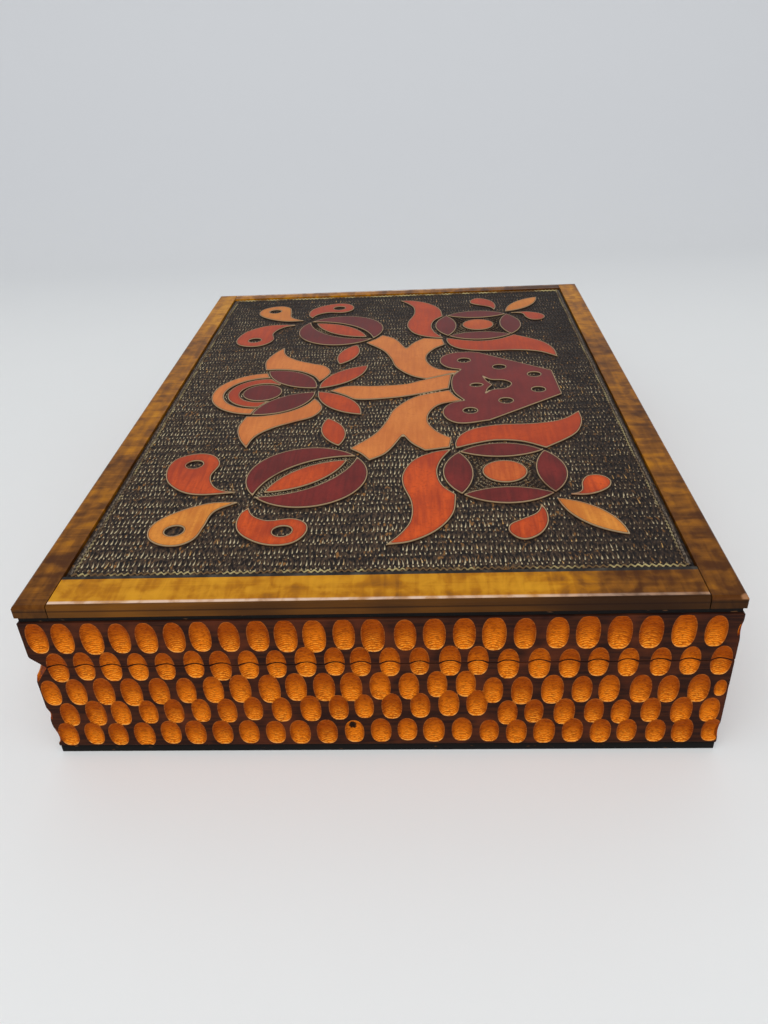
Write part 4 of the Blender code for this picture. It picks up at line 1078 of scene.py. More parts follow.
    def cutters(self) -> list[bpy.types.Object]:
        """Return the bodies that make room for the hinges.

        Returns:
            The cutters, in the box's axes.
        """
        if self.side is not Side.BACK:
            return []
        made = []
        length = self.hinge_length + 2 * JOINT_GAP
        tall = 2 * (self.leaf_thickness + JOINT_GAP)
        reach = self.leaf_reach + JOINT_GAP + self.seat_overrun
        seat_y = HINGE_LINE.y - self.leaf_reach - JOINT_GAP + reach / 2
        radius = self.barrel_radius + JOINT_GAP
        for number, sign in enumerate((-1, 1)):
            x = sign * self.hinge_spacing / 2
            seat = block((length, reach, tall), (x, seat_y, SEAM_HEIGHT))
            made.append(finished(f"seat_{self.name}_{number}", seat, ()))
            bm = bmesh.new()
            bmesh.ops.create_cone(
                bm, cap_ends=True, segments=24, radius1=radius, radius2=radius, depth=length + 2 * JOINT_GAP
            )
            lying = Matrix.Rotation(math.radians(90), 3, "Y")
            bmesh.ops.rotate(bm, cent=(0, 0, 0), matrix=lying, verts=bm.verts)
            bmesh.ops.translate(bm, vec=(x, HINGE_LINE.y, HINGE_LINE.z), verts=bm.verts)
            made.append(finished(f"hollow_{self.name}_{number}", bm, ()))
        return made

    def build(self, finishes: Finishes) -> bpy.types.Object:
        """Make the wall.

        Args:
            finishes: The materials.

        Returns:
            The wall.
        """
        bm = bmesh.new()
        bm.from_mesh(self.carved_face())
        bmesh.ops.transform(bm, matrix=self.place(), verts=bm.verts)
        if self.side is not Side.FRONT:
            self.plane_back_arris(bm)
        bmesh.ops.recalc_face_normals(bm, faces=bm.faces)
        wall = finished(f"carved_{self.name}", bm, (finishes.gouged, finishes.inside))
        for cutter in self.cutters():
            room = wall.modifiers.new(cutter.name, "BOOLEAN")
            room.operation = "DIFFERENCE"
            room.solver = "EXACT"
            room.use_hole_tolerant = True
            room.object = cutter
        bake_modifiers(wall)
        self._colour_inside(wall)
        set_smooth(wall.data, 50)
        show(wall, self.half, "carved_wall", self.name)
        return wall

    def _colour_inside(self, wall: bpy.types.Object) -> None:
        """Give the faces that look into the box their plain finish."""
        inward = -(Matrix.Rotation(self.side.turn, 3, "Z") @ Vector((0, -1, 0)))
        limit = self.side.reach - WALL_THICKNESS + 0.1 * MM
        for polygon in wall.data.polygons:
            if polygon.normal.dot(inward) > 0.9 and polygon.center.dot(-inward) < limit:
                polygon.material_index = 1


def bake_modifiers(piece: bpy.types.Object) -> None:
    """Make a piece's modifiers part of its mesh, and remove the objects that they used."""
    used = [modifier.object for modifier in piece.modifiers if getattr(modifier, "object", None)]
    if not piece.modifiers:
        return
    graph = bpy.context.evaluated_depsgraph_get()
    evaluated = piece.evaluated_get(graph)
    mesh = bpy.data.meshes.new_from_object(evaluated, preserve_all_data_layers=True, depsgraph=graph)
    piece.modifiers.clear()
    piece.data = mesh
    for other in used:
        bpy.data.objects.remove(other, do_unlink=True)


# ---- the carved panel ----

Share = tuple[float, float]
Runs = tuple[tuple[Share, ...], ...]


@dataclass(frozen=True)
class Layout:
    """Places on the panel, from shares of the opening between the rails.

    Shares go across it from the back rail, then along it from the near rail. Paired motifs are
    repeated beyond the panel's middle line, which leans a little.
    """

    middle_share: float = 0.499
    middle_lean_share: float = 0.009

    def at(self, share: Share, mirrored: bool = False) -> Vector:
        """Return a place on the panel, or its mirror image, in the box's axes."""
        across, along = share
        if mirrored:
            along = 2 * (self.middle_share + self.middle_lean_share * across) - along
        x = NEAR_RAIL_WIDTH - BOX_LENGTH / 2 + along * (BOX_LENGTH - NEAR_RAIL_WIDTH - FAR_RAIL_WIDTH)
        y = BOX_WIDTH / 2 - LONG_RAIL_WIDTH - across * (BOX_WIDTH - 2 * LONG_RAIL_WIDTH)
        return Vector((x, y))

    def smooth(self, runs: Runs, mirrored: bool = False, steps: int = 8) -> list[Vector]:
        """Return a closed outline through the points of its runs, smooth but for each run's start.

        Args:
            runs: The runs of points, each starting at a corner.
            mirrored: Whether the mirror image is wanted.
            steps: Points between two of the given points.

        Returns:
            The outline.
        """
        points = [self.at(share, mirrored) for run in runs for share in run]
        corners = [number == 0 for run in runs for number in range(len(run))]
        count = len(points)
        outline: list[Vector] = []
        for number, start in enumerate(points):
            end = points[(number + 1) % count]
            third = (end - start).length / 3
            start_way = end - start if corners[number] else end - points[number - 1]
            end_corner = corners[(number + 1) % count]
            end_way = end - start if end_corner else points[(number + 2) % count] - start
            first = start + start_way.normalized() * third
            second = end - end_way.normalized() * third
            outline.extend(interpolate_bezier(start, first, second, end, steps + 1)[:-1])
        return outline

    def leaf(
        self, tips: tuple[Share, Share], bulges: tuple[float, float], mirrored: bool = False
    ) -> list[Vector]:
        """Return the outline of a leaf between two tips.

        Args:
            tips: Its two tips.
            bulges: Its bulges on the left and right of the way between them, as shares of it.
            mirrored: Whether the mirror image is wanted.

        Returns:
            The outline.
        """
        ends = [self.at(tip, mirrored) for tip in tips]
        left, right = reversed(bulges) if mirrored else bulges
        return arc(ends[0], ends[1], left) + arc(ends[1], ends[0], right)


def arc(start: Vector, end: Vector, bulge_share: float, steps: int = 40) -> list[Vector]:
    """Return points of an arc up to its end, bulging to its left by a share of its chord.

    Args:
        start: Its first point.
        end: Its last point, left out.
        bulge_share: The bulge.
        steps: The number of points.

    Returns:
        The points.
    """
    half_angle = 2 * math.atan(2 * bulge_share)
    radius = 0.5 / math.sin(half_angle)
    forward = end - start
    left = Vector((-forward.y, forward.x))
    middle = (start + end) / 2
    points = []
    for number in range(steps):
        angle = half_angle * (1 - 2 * number / steps)
        rise = bulge_share - radius + radius * math.cos(angle)
        points.append(middle - forward * radius * math.sin(angle) + left * rise)
    return points


def circle(centre: Vector, radius: float, steps: int = 72) -> list[Vector]:
    """Return the outline of a circle."""
    turns = [math.tau * number / steps for number in range(steps)]
    return [centre + Vector((math.cos(turn), math.sin(turn))) * radius for turn in turns]


class Outline:
    """A closed outline with holes, which tells how far places are inside it."""

    def __init__(self, loops: Iterable[Sequence[Vector]], rooms: Sequence[Outline] = ()) -> None:
        """Hold the loops.

        Args:
            loops: The outline, then its holes.
            rooms: Neighbours that this outline is cut back for.
        """
        self.rooms = rooms
        self.loops = [np.array([tuple(point) for point in loop]) for loop in loops]
        self.starts = np.concatenate(self.loops)
        self.ends = np.concatenate([np.roll(loop, -1, axis=0) for loop in self.loops])
        self.low = self.starts.min(axis=0)
        self.high = self.starts.max(axis=0)

    def contains(self, points: np.ndarray) -> np.ndarray:
        """Return which points lie inside."""
        x, y = points[:, :1], points[:, 1:2]
        start_x, start_y = self.starts[:, 0], self.starts[:, 1]
        end_x, end_y = self.ends[:, 0], self.ends[:, 1]
        crosses = (start_y > y) != (end_y > y)
        rise = np.where(end_y == start_y, 1.0, end_y - start_y)
        left = x < start_x + (end_x - start_x) * (y - start_y) / rise
        within = (crosses & left).sum(axis=1) % 2 == 1
        for room in self.rooms:
            within &= ~room.contains(points)
        return within

    def nearest(self, points: np.ndarray) -> tuple[np.ndarray, np.ndarray]:
        """Return the distance to the outline and the nearest point on it.

        Args:
            points: Rows of x and y.

        Returns:
            Signed distances, positive inside, and the nearest points.
        """
        way = self.ends - self.starts
        length = np.maximum((way**2).sum(axis=1), 1e-18)
        distances = np.empty(len(points))
        found = np.empty_like(points)
        for low in range(0, len(points), 2000):
            block = points[low : low + 2000]
            to_point = block[:, None, :] - self.starts[None]
            share = np.clip((to_point * way).sum(axis=2) / length, 0, 1)
            near = self.starts + way * share[..., None]
            square = ((block[:, None, :] - near) ** 2).sum(axis=2)
            best = square.argmin(axis=1)
            rows = np.arange(len(block))
            found[low : low + 2000] = near[rows, best]
            distances[low : low + 2000] = np.sqrt(square[rows, best])
        for room in self.rooms:
            reach, near = room.nearest(points)
            closer = np.abs(reach) < distances
            closer |= reach > 0
            distances = np.where(closer, np.abs(reach), distances)
            found = np.where(closer[:, None], near, found)
        return np.where(self.contains(points), distances, -distances), found


@dataclass
class Island:
    """One stained island of the relief."""

    name: str
    stain: str
    outline: Outline

    def build(self, finishes: Finishes, spacing: float = 0.62 * MM) -> bpy.types.Object:
        """Make the island, its top fitted to its outline and its sides down to the ground.

        Args:
            finishes: The materials.
            spacing: The size of the cells of its top.

        Returns:
            The island.
        """
        low = self.outline.low - spacing
        high = self.outline.high + spacing
        size = high - low
        bm = bmesh.new()
        columns, rows = (max(2, int(length / spacing)) for length in size)
        bmesh.ops.create_grid(bm, x_segments=columns, y_segments=rows, size=0.5)
        bmesh.ops.scale(bm, vec=(size[0], size[1], 1), verts=bm.verts)
        bmesh.ops.translate(bm, vec=(*(low + high) / 2, PANEL_HIGH.z), verts=bm.verts)
        points = np.array([vert.co[:2] for vert in bm.verts])
        distances, nearest = self.outline.nearest(points)
        bm.verts.index_update()
        outside = [face for face in bm.faces if all(distances[vert.index] <= 0 for vert in face.verts)]
        fitted = {vert: number for number, vert in enumerate(bm.verts)}
        for vert, number in fitted.items():
            if distances[number] <= 0 or distances[number] < 0.2 * spacing:
                vert.co.x, vert.co.y = nearest[number]
        bmesh.ops.delete(bm, geom=outside, context="FACES")
        bmesh.ops.remove_doubles(bm, verts=bm.verts, dist=0.03 * MM)
        border = [edge for edge in bm.edges if edge.is_boundary]
        pulled = bmesh.ops.extrude_edge_only(bm, edges=border)
        moved = only(pulled["geom"], bmesh.types.BMVert)
        bmesh.ops.translate(bm, vec=(0, 0, -RELIEF_DEPTH - 0.2 * MM), verts=moved)
        bmesh.ops.recalc_face_normals(bm, faces=bm.faces)
        piece = finished(self.name, bm, (finishes.stains[self.stain],))
        places = coordinates(piece.data)
        edge = np.abs(self.outline.nearest(places[:, :2])[0]) / MM
        set_attribute(piece.data, "edge_mm", np.clip(edge, 0, 4))
        set_smooth(piece.data, 40)
        show(piece, Half.LID, "carved_panel")
        return piece


UPPER_DROP: Runs = (
    (
        (0.2400, 0.1790), (0.1950, 0.1900), (0.1725, 0.2220), (0.1795, 0.2580), (0.1580, 0.2840),
        (0.1200, 0.2895), (0.0830, 0.2740), (0.0760, 0.2400), (0.0960, 0.2030), (0.1500, 0.1760),
    ),
)
LOWER_DROP: Runs = (
    (
        (0.2480, 0.1560), (0.1900, 0.1545), (0.1350, 0.1340), (0.1030, 0.1070), (0.1040, 0.0790),
        (0.1300, 0.0615), (0.1650, 0.0585), (0.1900, 0.0720), (0.1990, 0.1000), (0.2080, 0.1340),
    ),
)
MIDDLE_DROP: Runs = (
    (
        (0.2655, 0.1430), (0.2520, 0.1250), (0.2535, 0.0950), (0.2750, 0.0730), (0.3180, 0.0565),
        (0.3580, 0.0590), (0.3800, 0.0790), (0.3775, 0.1020), (0.3500, 0.1145), (0.3080, 0.1110),
        (0.2800, 0.1220),
    ),
)
FLOWER_SIDE_PETAL: Runs = (
    (
        (0.6382, 0.2856), (0.5980, 0.2770), (0.5600, 0.2560), (0.5400, 0.2200), (0.5400, 0.1900),
        (0.5560, 0.1450), (0.5555, 0.1050), (0.5395, 0.0771),
    ),
    ((0.5145, 0.0524), (0.5600, 0.0590), (0.6040, 0.0820), (0.6330, 0.1180)),
    ((0.6404, 0.1620), (0.6163, 0.1867), (0.6078, 0.2211), (0.6163, 0.2534)),
)
FLOWER_TOP_PETAL: Runs = (
    (
        (0.6438, 0.2858), (0.6438, 0.3034), (0.6550, 0.3270), (0.6850, 0.3470), (0.7400, 0.3580),
        (0.8107, 0.3592), (0.8700, 0.3700),
    ),
    ((0.9152, 0.3990), (0.9133, 0.3613), (0.8900, 0.3220)),
    ((0.8235, 0.2813), (0.7800, 0.3015), (0.7300, 0.3077), (0.6850, 0.2990)),
)
LOW_SMALL_DROP: Runs = (
    (
        (0.7871, 0.1394), (0.7745, 0.1169), (0.7463, 0.1029), (0.7240, 0.0905), (0.7225, 0.0735),
        (0.7430, 0.0590), (0.7700, 0.0665), (0.7900, 0.0880), (0.7950, 0.1150),
    ),
)
RIGHT_SMALL_DROP: Runs = (
    (
        (0.8294, 0.1577), (0.8600, 0.1640), (0.8679, 0.1867), (0.8826, 0.2028), (0.9090, 0.2035),
        (0.9234, 0.1880), (0.9124, 0.1695), (0.8748, 0.1555),
    ),
)
RING_PETAL: Runs = (
    ((0.2190, 0.3003), (0.1944, 0.3331), (0.1820, 0.3700)),
    ((0.1903, 0.4081), (0.2300, 0.4090), (0.2780, 0.4200), (0.3150, 0.4430)),
    (
        (0.3338, 0.4700), (0.3500, 0.4500), (0.3575, 0.4269), (0.3400, 0.4003), (0.3023, 0.3847),
        (0.2600, 0.3650), (0.2300, 0.3388),
    ),
)
BRANCH: Runs = (
    ((0.6695, 0.4455), (0.6540, 0.4640)),
    (
        (0.6420, 0.4870), (0.5760, 0.4700), (0.5450, 0.4520), (0.5137, 0.4166), (0.5000, 0.3780),
        (0.4780, 0.3370),
    ),
    ((0.4310, 0.2935), (0.4540, 0.2780)),
    ((0.4735, 0.2565), (0.5080, 0.2780)),
    ((0.5390, 0.3300), (0.5560, 0.3050)),
    ((0.5833, 0.2820),),
    ((0.6347, 0.2900),),
    ((0.6402, 0.3185), (0.6127, 0.3386), (0.5930, 0.3713), (0.5962, 0.4040), (0.6200, 0.4330)),
)
STEM: Runs = (
    ((0.3638, 0.4972), (0.4000, 0.5141), (0.4700, 0.5118), (0.5400, 0.5160), (0.5760, 0.5290)),
    ((0.6520, 0.5540), (0.6470, 0.5250)),
    ((0.6420, 0.4935), (0.5760, 0.4745), (0.5100, 0.4624), (0.4300, 0.4600), (0.4000, 0.4780)),
)
VASE: Runs = (
    ((0.6713, 0.4455), (0.6400, 0.4355), (0.6226, 0.4110), (0.6300, 0.3810), (0.6600, 0.3645)),
    ((0.7227, 0.3726),),
    ((0.8932, 0.4606),),
    ((0.8890, 0.5560),),
    ((0.7227, 0.6460),),
    ((0.7000, 0.6505), (0.6600, 0.6485), (0.6300, 0.6330), (0.6226, 0.6060), (0.6400, 0.5815)),
    ((0.6713, 0.5700), (0.6510, 0.5420), (0.6457, 0.5070), (0.6510, 0.4760)),
)
TULIP: Runs = (
    ((0.7227, 0.5390), (0.7290, 0.5200)),
    ((0.7410, 0.5034), (0.7290, 0.4880)),
    (
        (0.7227, 0.4694), (0.7400, 0.4830), (0.7700, 0.4880), (0.7850, 0.5060), (0.7700, 0.5210),
        (0.7400, 0.5250),
    ),
)
RING_LEAF = (((0.3324, 0.4940), (0.2007, 0.4138)), (0.243, 0.196))
VASE_HOLES: tuple[Share, ...] = (
    (0.6833, 0.4079), (0.7648, 0.4405), (0.8430, 0.4797), (0.8437, 0.5412), (0.7660, 0.5770), (0.6830, 0.6110),
)


@dataclass
class CarvedPanel:
    """The lid's panel: a scorched ground, stained islands and thousands of tool strokes."""

    layout: Layout = field(default_factory=Layout)
    fruit_radius: float = 21.3 * MM
    flower_eye_radius: float = 7.85 * MM
    drop_hole_radius: float = 3.1 * MM
    vase_hole_radius: float = 2.8 * MM
    fruit_centre: Share = (0.3575, 0.2189)
    fruit_tilt_degrees: float = 39.5
    fruit_bands: tuple[float, float] = (0.202, 0.185)
    seed_length_share: float = 0.822
    seed_bulge_share: float = 0.169
    flower_centre: Share = (0.7337, 0.2193)
    segment_bulge_share: float = 0.153
    ring_centre: Share = (0.2065, 0.4970)
    disc_radius: float = 8.5 * MM
    rings: tuple[tuple[str, float, float], ...] = (
        ("red", 9.5 * MM, 14.9 * MM),
        ("orange", 16.0 * MM, 21.6 * MM),
    )
    ring_end_degrees: float = 50.0
    clearance: float = 0.3 * MM

    def islands(self) -> list[Island]:
        """Return every island of the relief."""
        made = [
            self._single("stem", "orange", self.layout.smooth(STEM)),
            self._vase(),
            self._single("ring_disc", "burgundy", circle(self.layout.at(self.ring_centre), self.disc_radius)),
        ]
        for mirrored in (False, True):
            made.extend(self._pair(mirrored))
        made.extend(self._rings())
        return made

    def _single(
        self, name: str, stain: str, loop: list[Vector], *holes: list[Vector], rooms: Sequence[Outline] = ()
    ) -> Island:
        """Return an island, drawn in by the clearance that keeps it from its neighbours."""
        return Island(f"relief_{name}", stain, Outline([inset(loop, self.clearance), *holes], rooms))

    def _room(self, loop: list[Vector]) -> Outline:
        """Return the room that a neighbour's outline takes."""
        return Outline([inset(loop, -self.clearance)])

    def _vase(self) -> Island:
        """Return the vase, with its round holes and the tulip cut into it."""
        holes = [circle(self.layout.at(share), self.vase_hole_radius, 32) for share in VASE_HOLES]
        holes.append(self.layout.smooth(TULIP))
        holes.append(self.layout.leaf(((0.6897, 0.5030), (0.7200, 0.5040)), (0.35, 0.35)))
        return self._single("vase", "vase", self.layout.smooth(VASE), *holes)

    def _pair(self, mirrored: bool) -> list[Island]:
        """Return the islands of one half.

        Args:
            mirrored: Whether it is the far half.

        Returns:
            The islands.
        """
        end = "far" if mirrored else "near"
        at = self.layout

        def drop(
            word: str, stain: str, runs: Runs, hole: Share | None = None, rooms: Sequence[Outline] = ()
        ) -> Island:
            """Return a traced island, with a round hole where it has one."""
            holes = [circle(at.at(hole, mirrored), self.drop_hole_radius, 32)] if hole else []
            return self._single(f"{end}_{word}", stain, at.smooth(runs, mirrored), *holes, rooms=rooms)

        made = [
            drop("upper_drop", "red", UPPER_DROP, (0.1274, 0.2572)),
            drop("lower_drop", "pale", LOWER_DROP, (0.1480, 0.0911)),
            drop("middle_drop", "red", MIDDLE_DROP, (0.3371, 0.0860)),
            drop("side_petal", "red", FLOWER_SIDE_PETAL),
            drop("top_petal", "red", FLOWER_TOP_PETAL),
            drop("low_small_drop", "red", LOW_SMALL_DROP),
            drop("right_small_drop", "red", RIGHT_SMALL_DROP),
            drop("ring_petal", "orange", RING_PETAL),
            drop("branch", "orange", BRANCH, rooms=(self._room(at.smooth(STEM)),)),
        ]
        leaves = (
            ("small_leaf", "red", ((0.3734, 0.3950), (0.4089, 0.3022)), (0.194, 0.182)),
            ("right_leaf", "pale", ((0.8159, 0.1491), (0.9202, 0.0653)), (0.182, 0.162)),
            ("red_leaf", "red", ((0.3365, 0.4953), (0.4472, 0.4044)), (0.186, 0.186)),
            ("ring_leaf", "burgundy", *RING_LEAF),
        )
        for word, stain, tips, bulges in leaves:
            made.append(self._single(f"{end}_{word}", stain, at.leaf(tips, bulges, mirrored)))
        made.extend(self._fruit(end, mirrored))
        made.extend(self._flower(end, mirrored))
        return made

    def _fruit(self, end: str, mirrored: bool) -> list[Island]:
        """Return a round fruit: two crescents and the seed between them."""
        centre = self.layout.at(self.fruit_centre, mirrored)
        tilt = math.radians(self.fruit_tilt_degrees - 90)
        reach = Vector((math.cos(tilt), math.sin(tilt))) * self.fruit_radius
        first, second = self.fruit_bands
        if mirrored:
            reach.x = -reach.x
            first, second = second, first
        low, high = centre - reach, centre + reach
        seed = reach * self.seed_length_share
        ends = (centre - seed, centre + seed)
        bulge = self.seed_bulge_share
        return [
            self._single(f"{end}_crescent_a", "burgundy", arc(low, high, 0.5, 60) + arc(high, low, -first)),
            self._single(f"{end}_crescent_b", "burgundy", arc(high, low, 0.5, 60) + arc(low, high, -second)),
            self._single(f"{end}_seed", "red", arc(*ends, bulge) + arc(*reversed(ends), bulge)),
        ]

    def _flower(self, end: str, mirrored: bool) -> list[Island]:
        """Return a round flower: four segments of its circle and its eye."""
        centre = self.layout.at(self.flower_centre, mirrored)
        quarter = (math.sqrt(2) - 1) / 2
        made = [self._single(f"{end}_eye", "eye", circle(centre, self.flower_eye_radius))]
        for number in range(4):
            turns = [math.radians(90 * number + way) for way in (-45, 45)]
            tips = [centre + Vector((math.cos(turn), math.sin(turn))) * self.fruit_radius for turn in turns]
            loop = arc(tips[0], tips[1], -quarter) + arc(tips[1], tips[0], -self.segment_bulge_share)
            made.append(self._single(f"{end}_segment_{number}", "burgundy", loop))
        return made

    def _rings(self) -> list[Island]:
        """Return the two open rings, whose ends stop short of the burgundy leaves."""
        centre = self.layout.at(self.ring_centre)
        rooms = [self._room(self.layout.leaf(*RING_LEAF, mirrored)) for mirrored in (False, True)]
        opening = math.radians(self.ring_end_degrees)
        made = []
        for stain, inner, outer in self.rings:
            turns = [opening + (math.tau - 2 * opening) * number / 80 for number in range(81)]
            ways = [Vector((-math.sin(turn), -math.cos(turn))) for turn in turns]
            loop = [centre + way * outer for way in ways] + [centre + way * inner for way in reversed(ways)]
            made.append(self._single(f"ring_{stain}", stain, loop, rooms=rooms))
        return made

    def build(self, finishes: Finishes) -> list[bpy.types.Object]:
        """Make the panel.

        Args:
            finishes: The materials.

        Returns:
            Its pieces.
        """
        islands = self.islands()
        ground = self._ground(finishes)
        rounds = [
            (self.layout.at(share, mirrored), inner, self.fruit_radius + 0.4 * MM, length)
            for mirrored in (False, True)
            for share, inner, length in (
                (self.flower_centre, self.flower_eye_radius + 0.3 * MM, 1.75 * MM),
                (self.fruit_centre, 1.0 * MM, 0.95 * MM),
            )
        ]
        strokes = Strokes([island.outline for island in islands], rounds).build(finishes)
        wave = WavyLine().build(finishes)
        return [ground, strokes, wave, *(island.build(finishes) for island in islands)]

    def _ground(self, finishes: Finishes) -> bpy.types.Object:
        """Return the board under the relief, up to the sunk ground."""
        size = PANEL_HIGH - PANEL_LOW
        size.z -= RELIEF_DEPTH
        middle = (PANEL_LOW + PANEL_HIGH) / 2
        middle.z = PANEL_LOW.z + size.z / 2
        ground = finished("panel_ground", block(size, middle), (finishes.ground,))
        show(ground, Half.LID, "carved_panel", "lid_panel")
        return ground


def inset(loop: Sequence[Vector], distance: float) -> list[Vector]:
    """Return an outline moved inwards, with its sharp tips drawn back no more than twice as far.

    Args:
        loop: The outline.
        distance: How far it moves.

    Returns:
        The moved outline.
    """
    steps = [after - point for point, after in zip(loop, [*loop[1:], loop[0]])]
    area = sum(point.cross(loop[number - 1]) for number, point in enumerate(loop))
    inward = 1 if area < 0 else -1
    moved = []
    for number, point in enumerate(loop):
        before = steps[number - 1].normalized()
        after = steps[number].normalized()
        first = Vector((-before.y, before.x)) * inward
        second = Vector((-after.y, after.x)) * inward
        bisector = (first + second).normalized()
        reach = min(2.0, 1 / max(bisector.dot(first), 0.1))
        moved.append(point + bisector * distance * reach)
    return moved


@dataclass
class Strokes:
    """The rows of comma-shaped tool strokes that texture the ground, with short dots between."""

    outlines: list[Outline]
    rounds: list[tuple[Vector, float, float, float]]
    row_pitch: float = 5.9 * MM
    pitch: float = 1.45 * MM
    length: float = 3.9 * MM
    dot_length: float = 1.7 * MM
    width: float = 1.15 * MM
    height: float = 0.50 * MM
    margin: float = 2.6 * MM
    clearance: float = 0.25 * MM
    fine_pitch: float = 0.64 * MM
    fine_width_share: float = 0.36
    sway_reach: float = 0.5 * MM
    sway_length: float = 22 * MM
    stray: float = 0.22 * MM
    lean_degrees: tuple[float, float] = (-3, 4)
    turn_stray_degrees: float = 4.5
    seed: int = 11

    def build(self, finishes: Finishes) -> bpy.types.Object:
        """Make all the strokes as one piece.

        Args:
            finishes: The materials.

        Returns:
            The piece.
        """
        table = self._lay_out()
        template, faces = self._template()
        cosines, sines = np.cos(table[:, 2])[:, None], np.sin(table[:, 2])[:, None]
        x = template[None, :, 0] * table[:, 3:4]
        y = template[None, :, 1] * table[:, 4:5]
        places = np.empty((len(table), len(template), 3))
        places[..., 0] = table[:, 0:1] + x * cosines - y * sines
        places[..., 1] = table[:, 1:2] + x * sines + y * cosines
        places[..., 2] = GROUND_HEIGHT + template[None, :, 2] * table[:, 5:6]
        offsets = (np.arange(len(table)) * len(template))[:, None, None]
        mesh = bpy.data.meshes.new("tool_strokes")
        all_faces = (offsets + faces[None]).reshape(-1, faces.shape[1])
        mesh.from_pydata(places.reshape(-1, 3), [], all_faces.tolist())
        mesh.materials.append(finishes.stroke)
        set_attribute(mesh, "tone", np.repeat(table[:, 6], len(template)))
        # How fat each stroke is along its length, which the finish reads to paint the highlight on its crest
        # brightest at the fat end.
        fat = np.clip(0.5 - template[:, 0] / self.length, 0, 1) ** 1.6
        set_attribute(mesh, "fat", np.tile(fat, len(table)))
        mesh.shade_smooth()
        piece = bpy.data.objects.new("tool_strokes", mesh)
        bpy.context.scene.collection.objects.link(piece)
        show(piece, Half.LID, "carved_panel")
        LOG.info("%d strokes", len(table))
        return piece

    def _lay_out(self) -> np.ndarray:
        """Return rows of x, y, turn, length, width and height shares, and tone."""
        chance = random.Random(self.seed)
        low_x, high_x = PANEL_LOW.x + self.margin, PANEL_HIGH.x - self.margin
        low_y, high_y = PANEL_LOW.y + self.margin, PANEL_HIGH.y - self.margin
        rows = []
        x = low_x
        while x + self.row_pitch < high_x + self.dot_length:
            for middle, long_share in (
                (x + self.dot_length / 2, self.dot_length / self.length),
                (x + self.dot_length + self.length / 2, 1.0),
            ):
                y = low_y + chance.uniform(0, self.pitch)
                sway = chance.uniform(0, math.tau)
                lean = chance.gauss(*self.lean_degrees)
                while y < high_y:
                    bend = self.sway_reach * math.sin(y / self.sway_length + sway)
                    place = middle + bend + chance.gauss(0, self.stray)
                    turn = math.radians(lean + chance.gauss(0, self.turn_stray_degrees))
                    size = long_share * chance.uniform(0.82, 1.12)
                    wide, high = chance.uniform(0.75, 1.1), chance.uniform(0.6, 1)
                    rows.append((place, y, turn, size, wide, high, chance.random()))
                    y += self.pitch * chance.uniform(0.80, 1.18)
            x += self.row_pitch * chance.uniform(0.93, 1.05)
        table = np.array(rows)
        table = table[(table[:, 0] < high_x - 0.5 * MM)]
        for centre, inner, outer, length in self.rounds:
            away = np.hypot(table[:, 0] - centre.x, table[:, 1] - centre.y)
            table = np.concatenate((table[away > outer], self._spokes(chance, centre, inner, outer, length)))
        keep = np.ones(len(table), bool)
        for outline in self.outlines:
            for reach in (-0.45, 0.0, 0.45):
                way = np.stack([np.cos(table[:, 2]), np.sin(table[:, 2])], 1)
                points = table[:, :2] + reach * self.length * table[:, 3:4] * way
                near = np.all((points > outline.low - MM) & (points < outline.high + MM), axis=1) & keep
                index = np.nonzero(near)[0]
                if len(index):
                    inside = outline.nearest(points[index])[0] > -self.clearance
                    keep[index[inside]] = False
        return table[keep]

    def _spokes(
        self, chance: random.Random, centre: Vector, inner: float, outer: float, length: float
    ) -> np.ndarray:
        """Return the rows of the fine strokes that stand like spokes inside a round motif.

        Args:
            chance: Where the straying comes from.
            centre: The motif's centre.
            inner: Where the spokes begin.
            outer: Where they end.
            length: The length of one stroke.

        Returns:
            The rows.
        """
        rows = []
        radius = inner + length / 2
        while radius < outer:
            count = round(math.tau * radius / self.fine_pitch)
            for number in range(count):
                turn = math.tau * (number + chance.uniform(-0.25, 0.25)) / count
                reach = radius + chance.gauss(0, 0.12) * length
                x, y = centre.x + reach * math.cos(turn), centre.y + reach * math.sin(turn)
                size = length / self.length * chance.uniform(0.8, 1.1)
                wide = self.fine_width_share * chance.uniform(0.8, 1.2)
                rows.append((x, y, turn + chance.gauss(0, 0.08), size, wide, 0.7, chance.uniform(0.1, 0.8)))
            radius += length * 1.05
        return np.array(rows)

    def _template(self) -> tuple[np.ndarray, np.ndarray]:
        """Return one stroke's vertices and faces: a comma that is fat at -X and thins to its tail."""
        bm = bmesh.new()
        bmesh.ops.create_grid(bm, x_segments=7, y_segments=2, size=0.5)
        for vert in bm.verts:
            along, across = vert.co.x * 2, vert.co.y * 2
            body = max(0.0, 1 - abs(along) ** 3) ** 0.5
            thin = (0.15 + 0.95 * ((1 - along) / 2) ** 1.4) * body
            hook = 0.16 * self.width * along**2 + 0.10 * self.width * along
            vert.co.x = along * self.length / 2
            vert.co.y = across * self.width / 2 * thin + hook
            vert.co.z = self.height * body * (0.85 - 0.15 * along) if abs(across) < 0.5 else -0.05 * MM
        bmesh.ops.triangulate(bm, faces=bm.faces)
        bm.verts.index_update()
        vertices = np.array([vert.co[:] for vert in bm.verts])
        faces = np.array([[vert.index for vert in face.verts] for face in bm.faces])
        bm.free()
        return vertices, faces


@dataclass(frozen=True)
class LineRun:
    """One line along a side of the panel.

    Attributes:
        margin: Its distance from the panel's edge.
        reach: How far its wave goes to each side.
        width: Its width.
        tone: What its finish reads: 0 plain, 1 a pale wave.
    """

    margin: float
    reach: float
    width: float
    tone: float


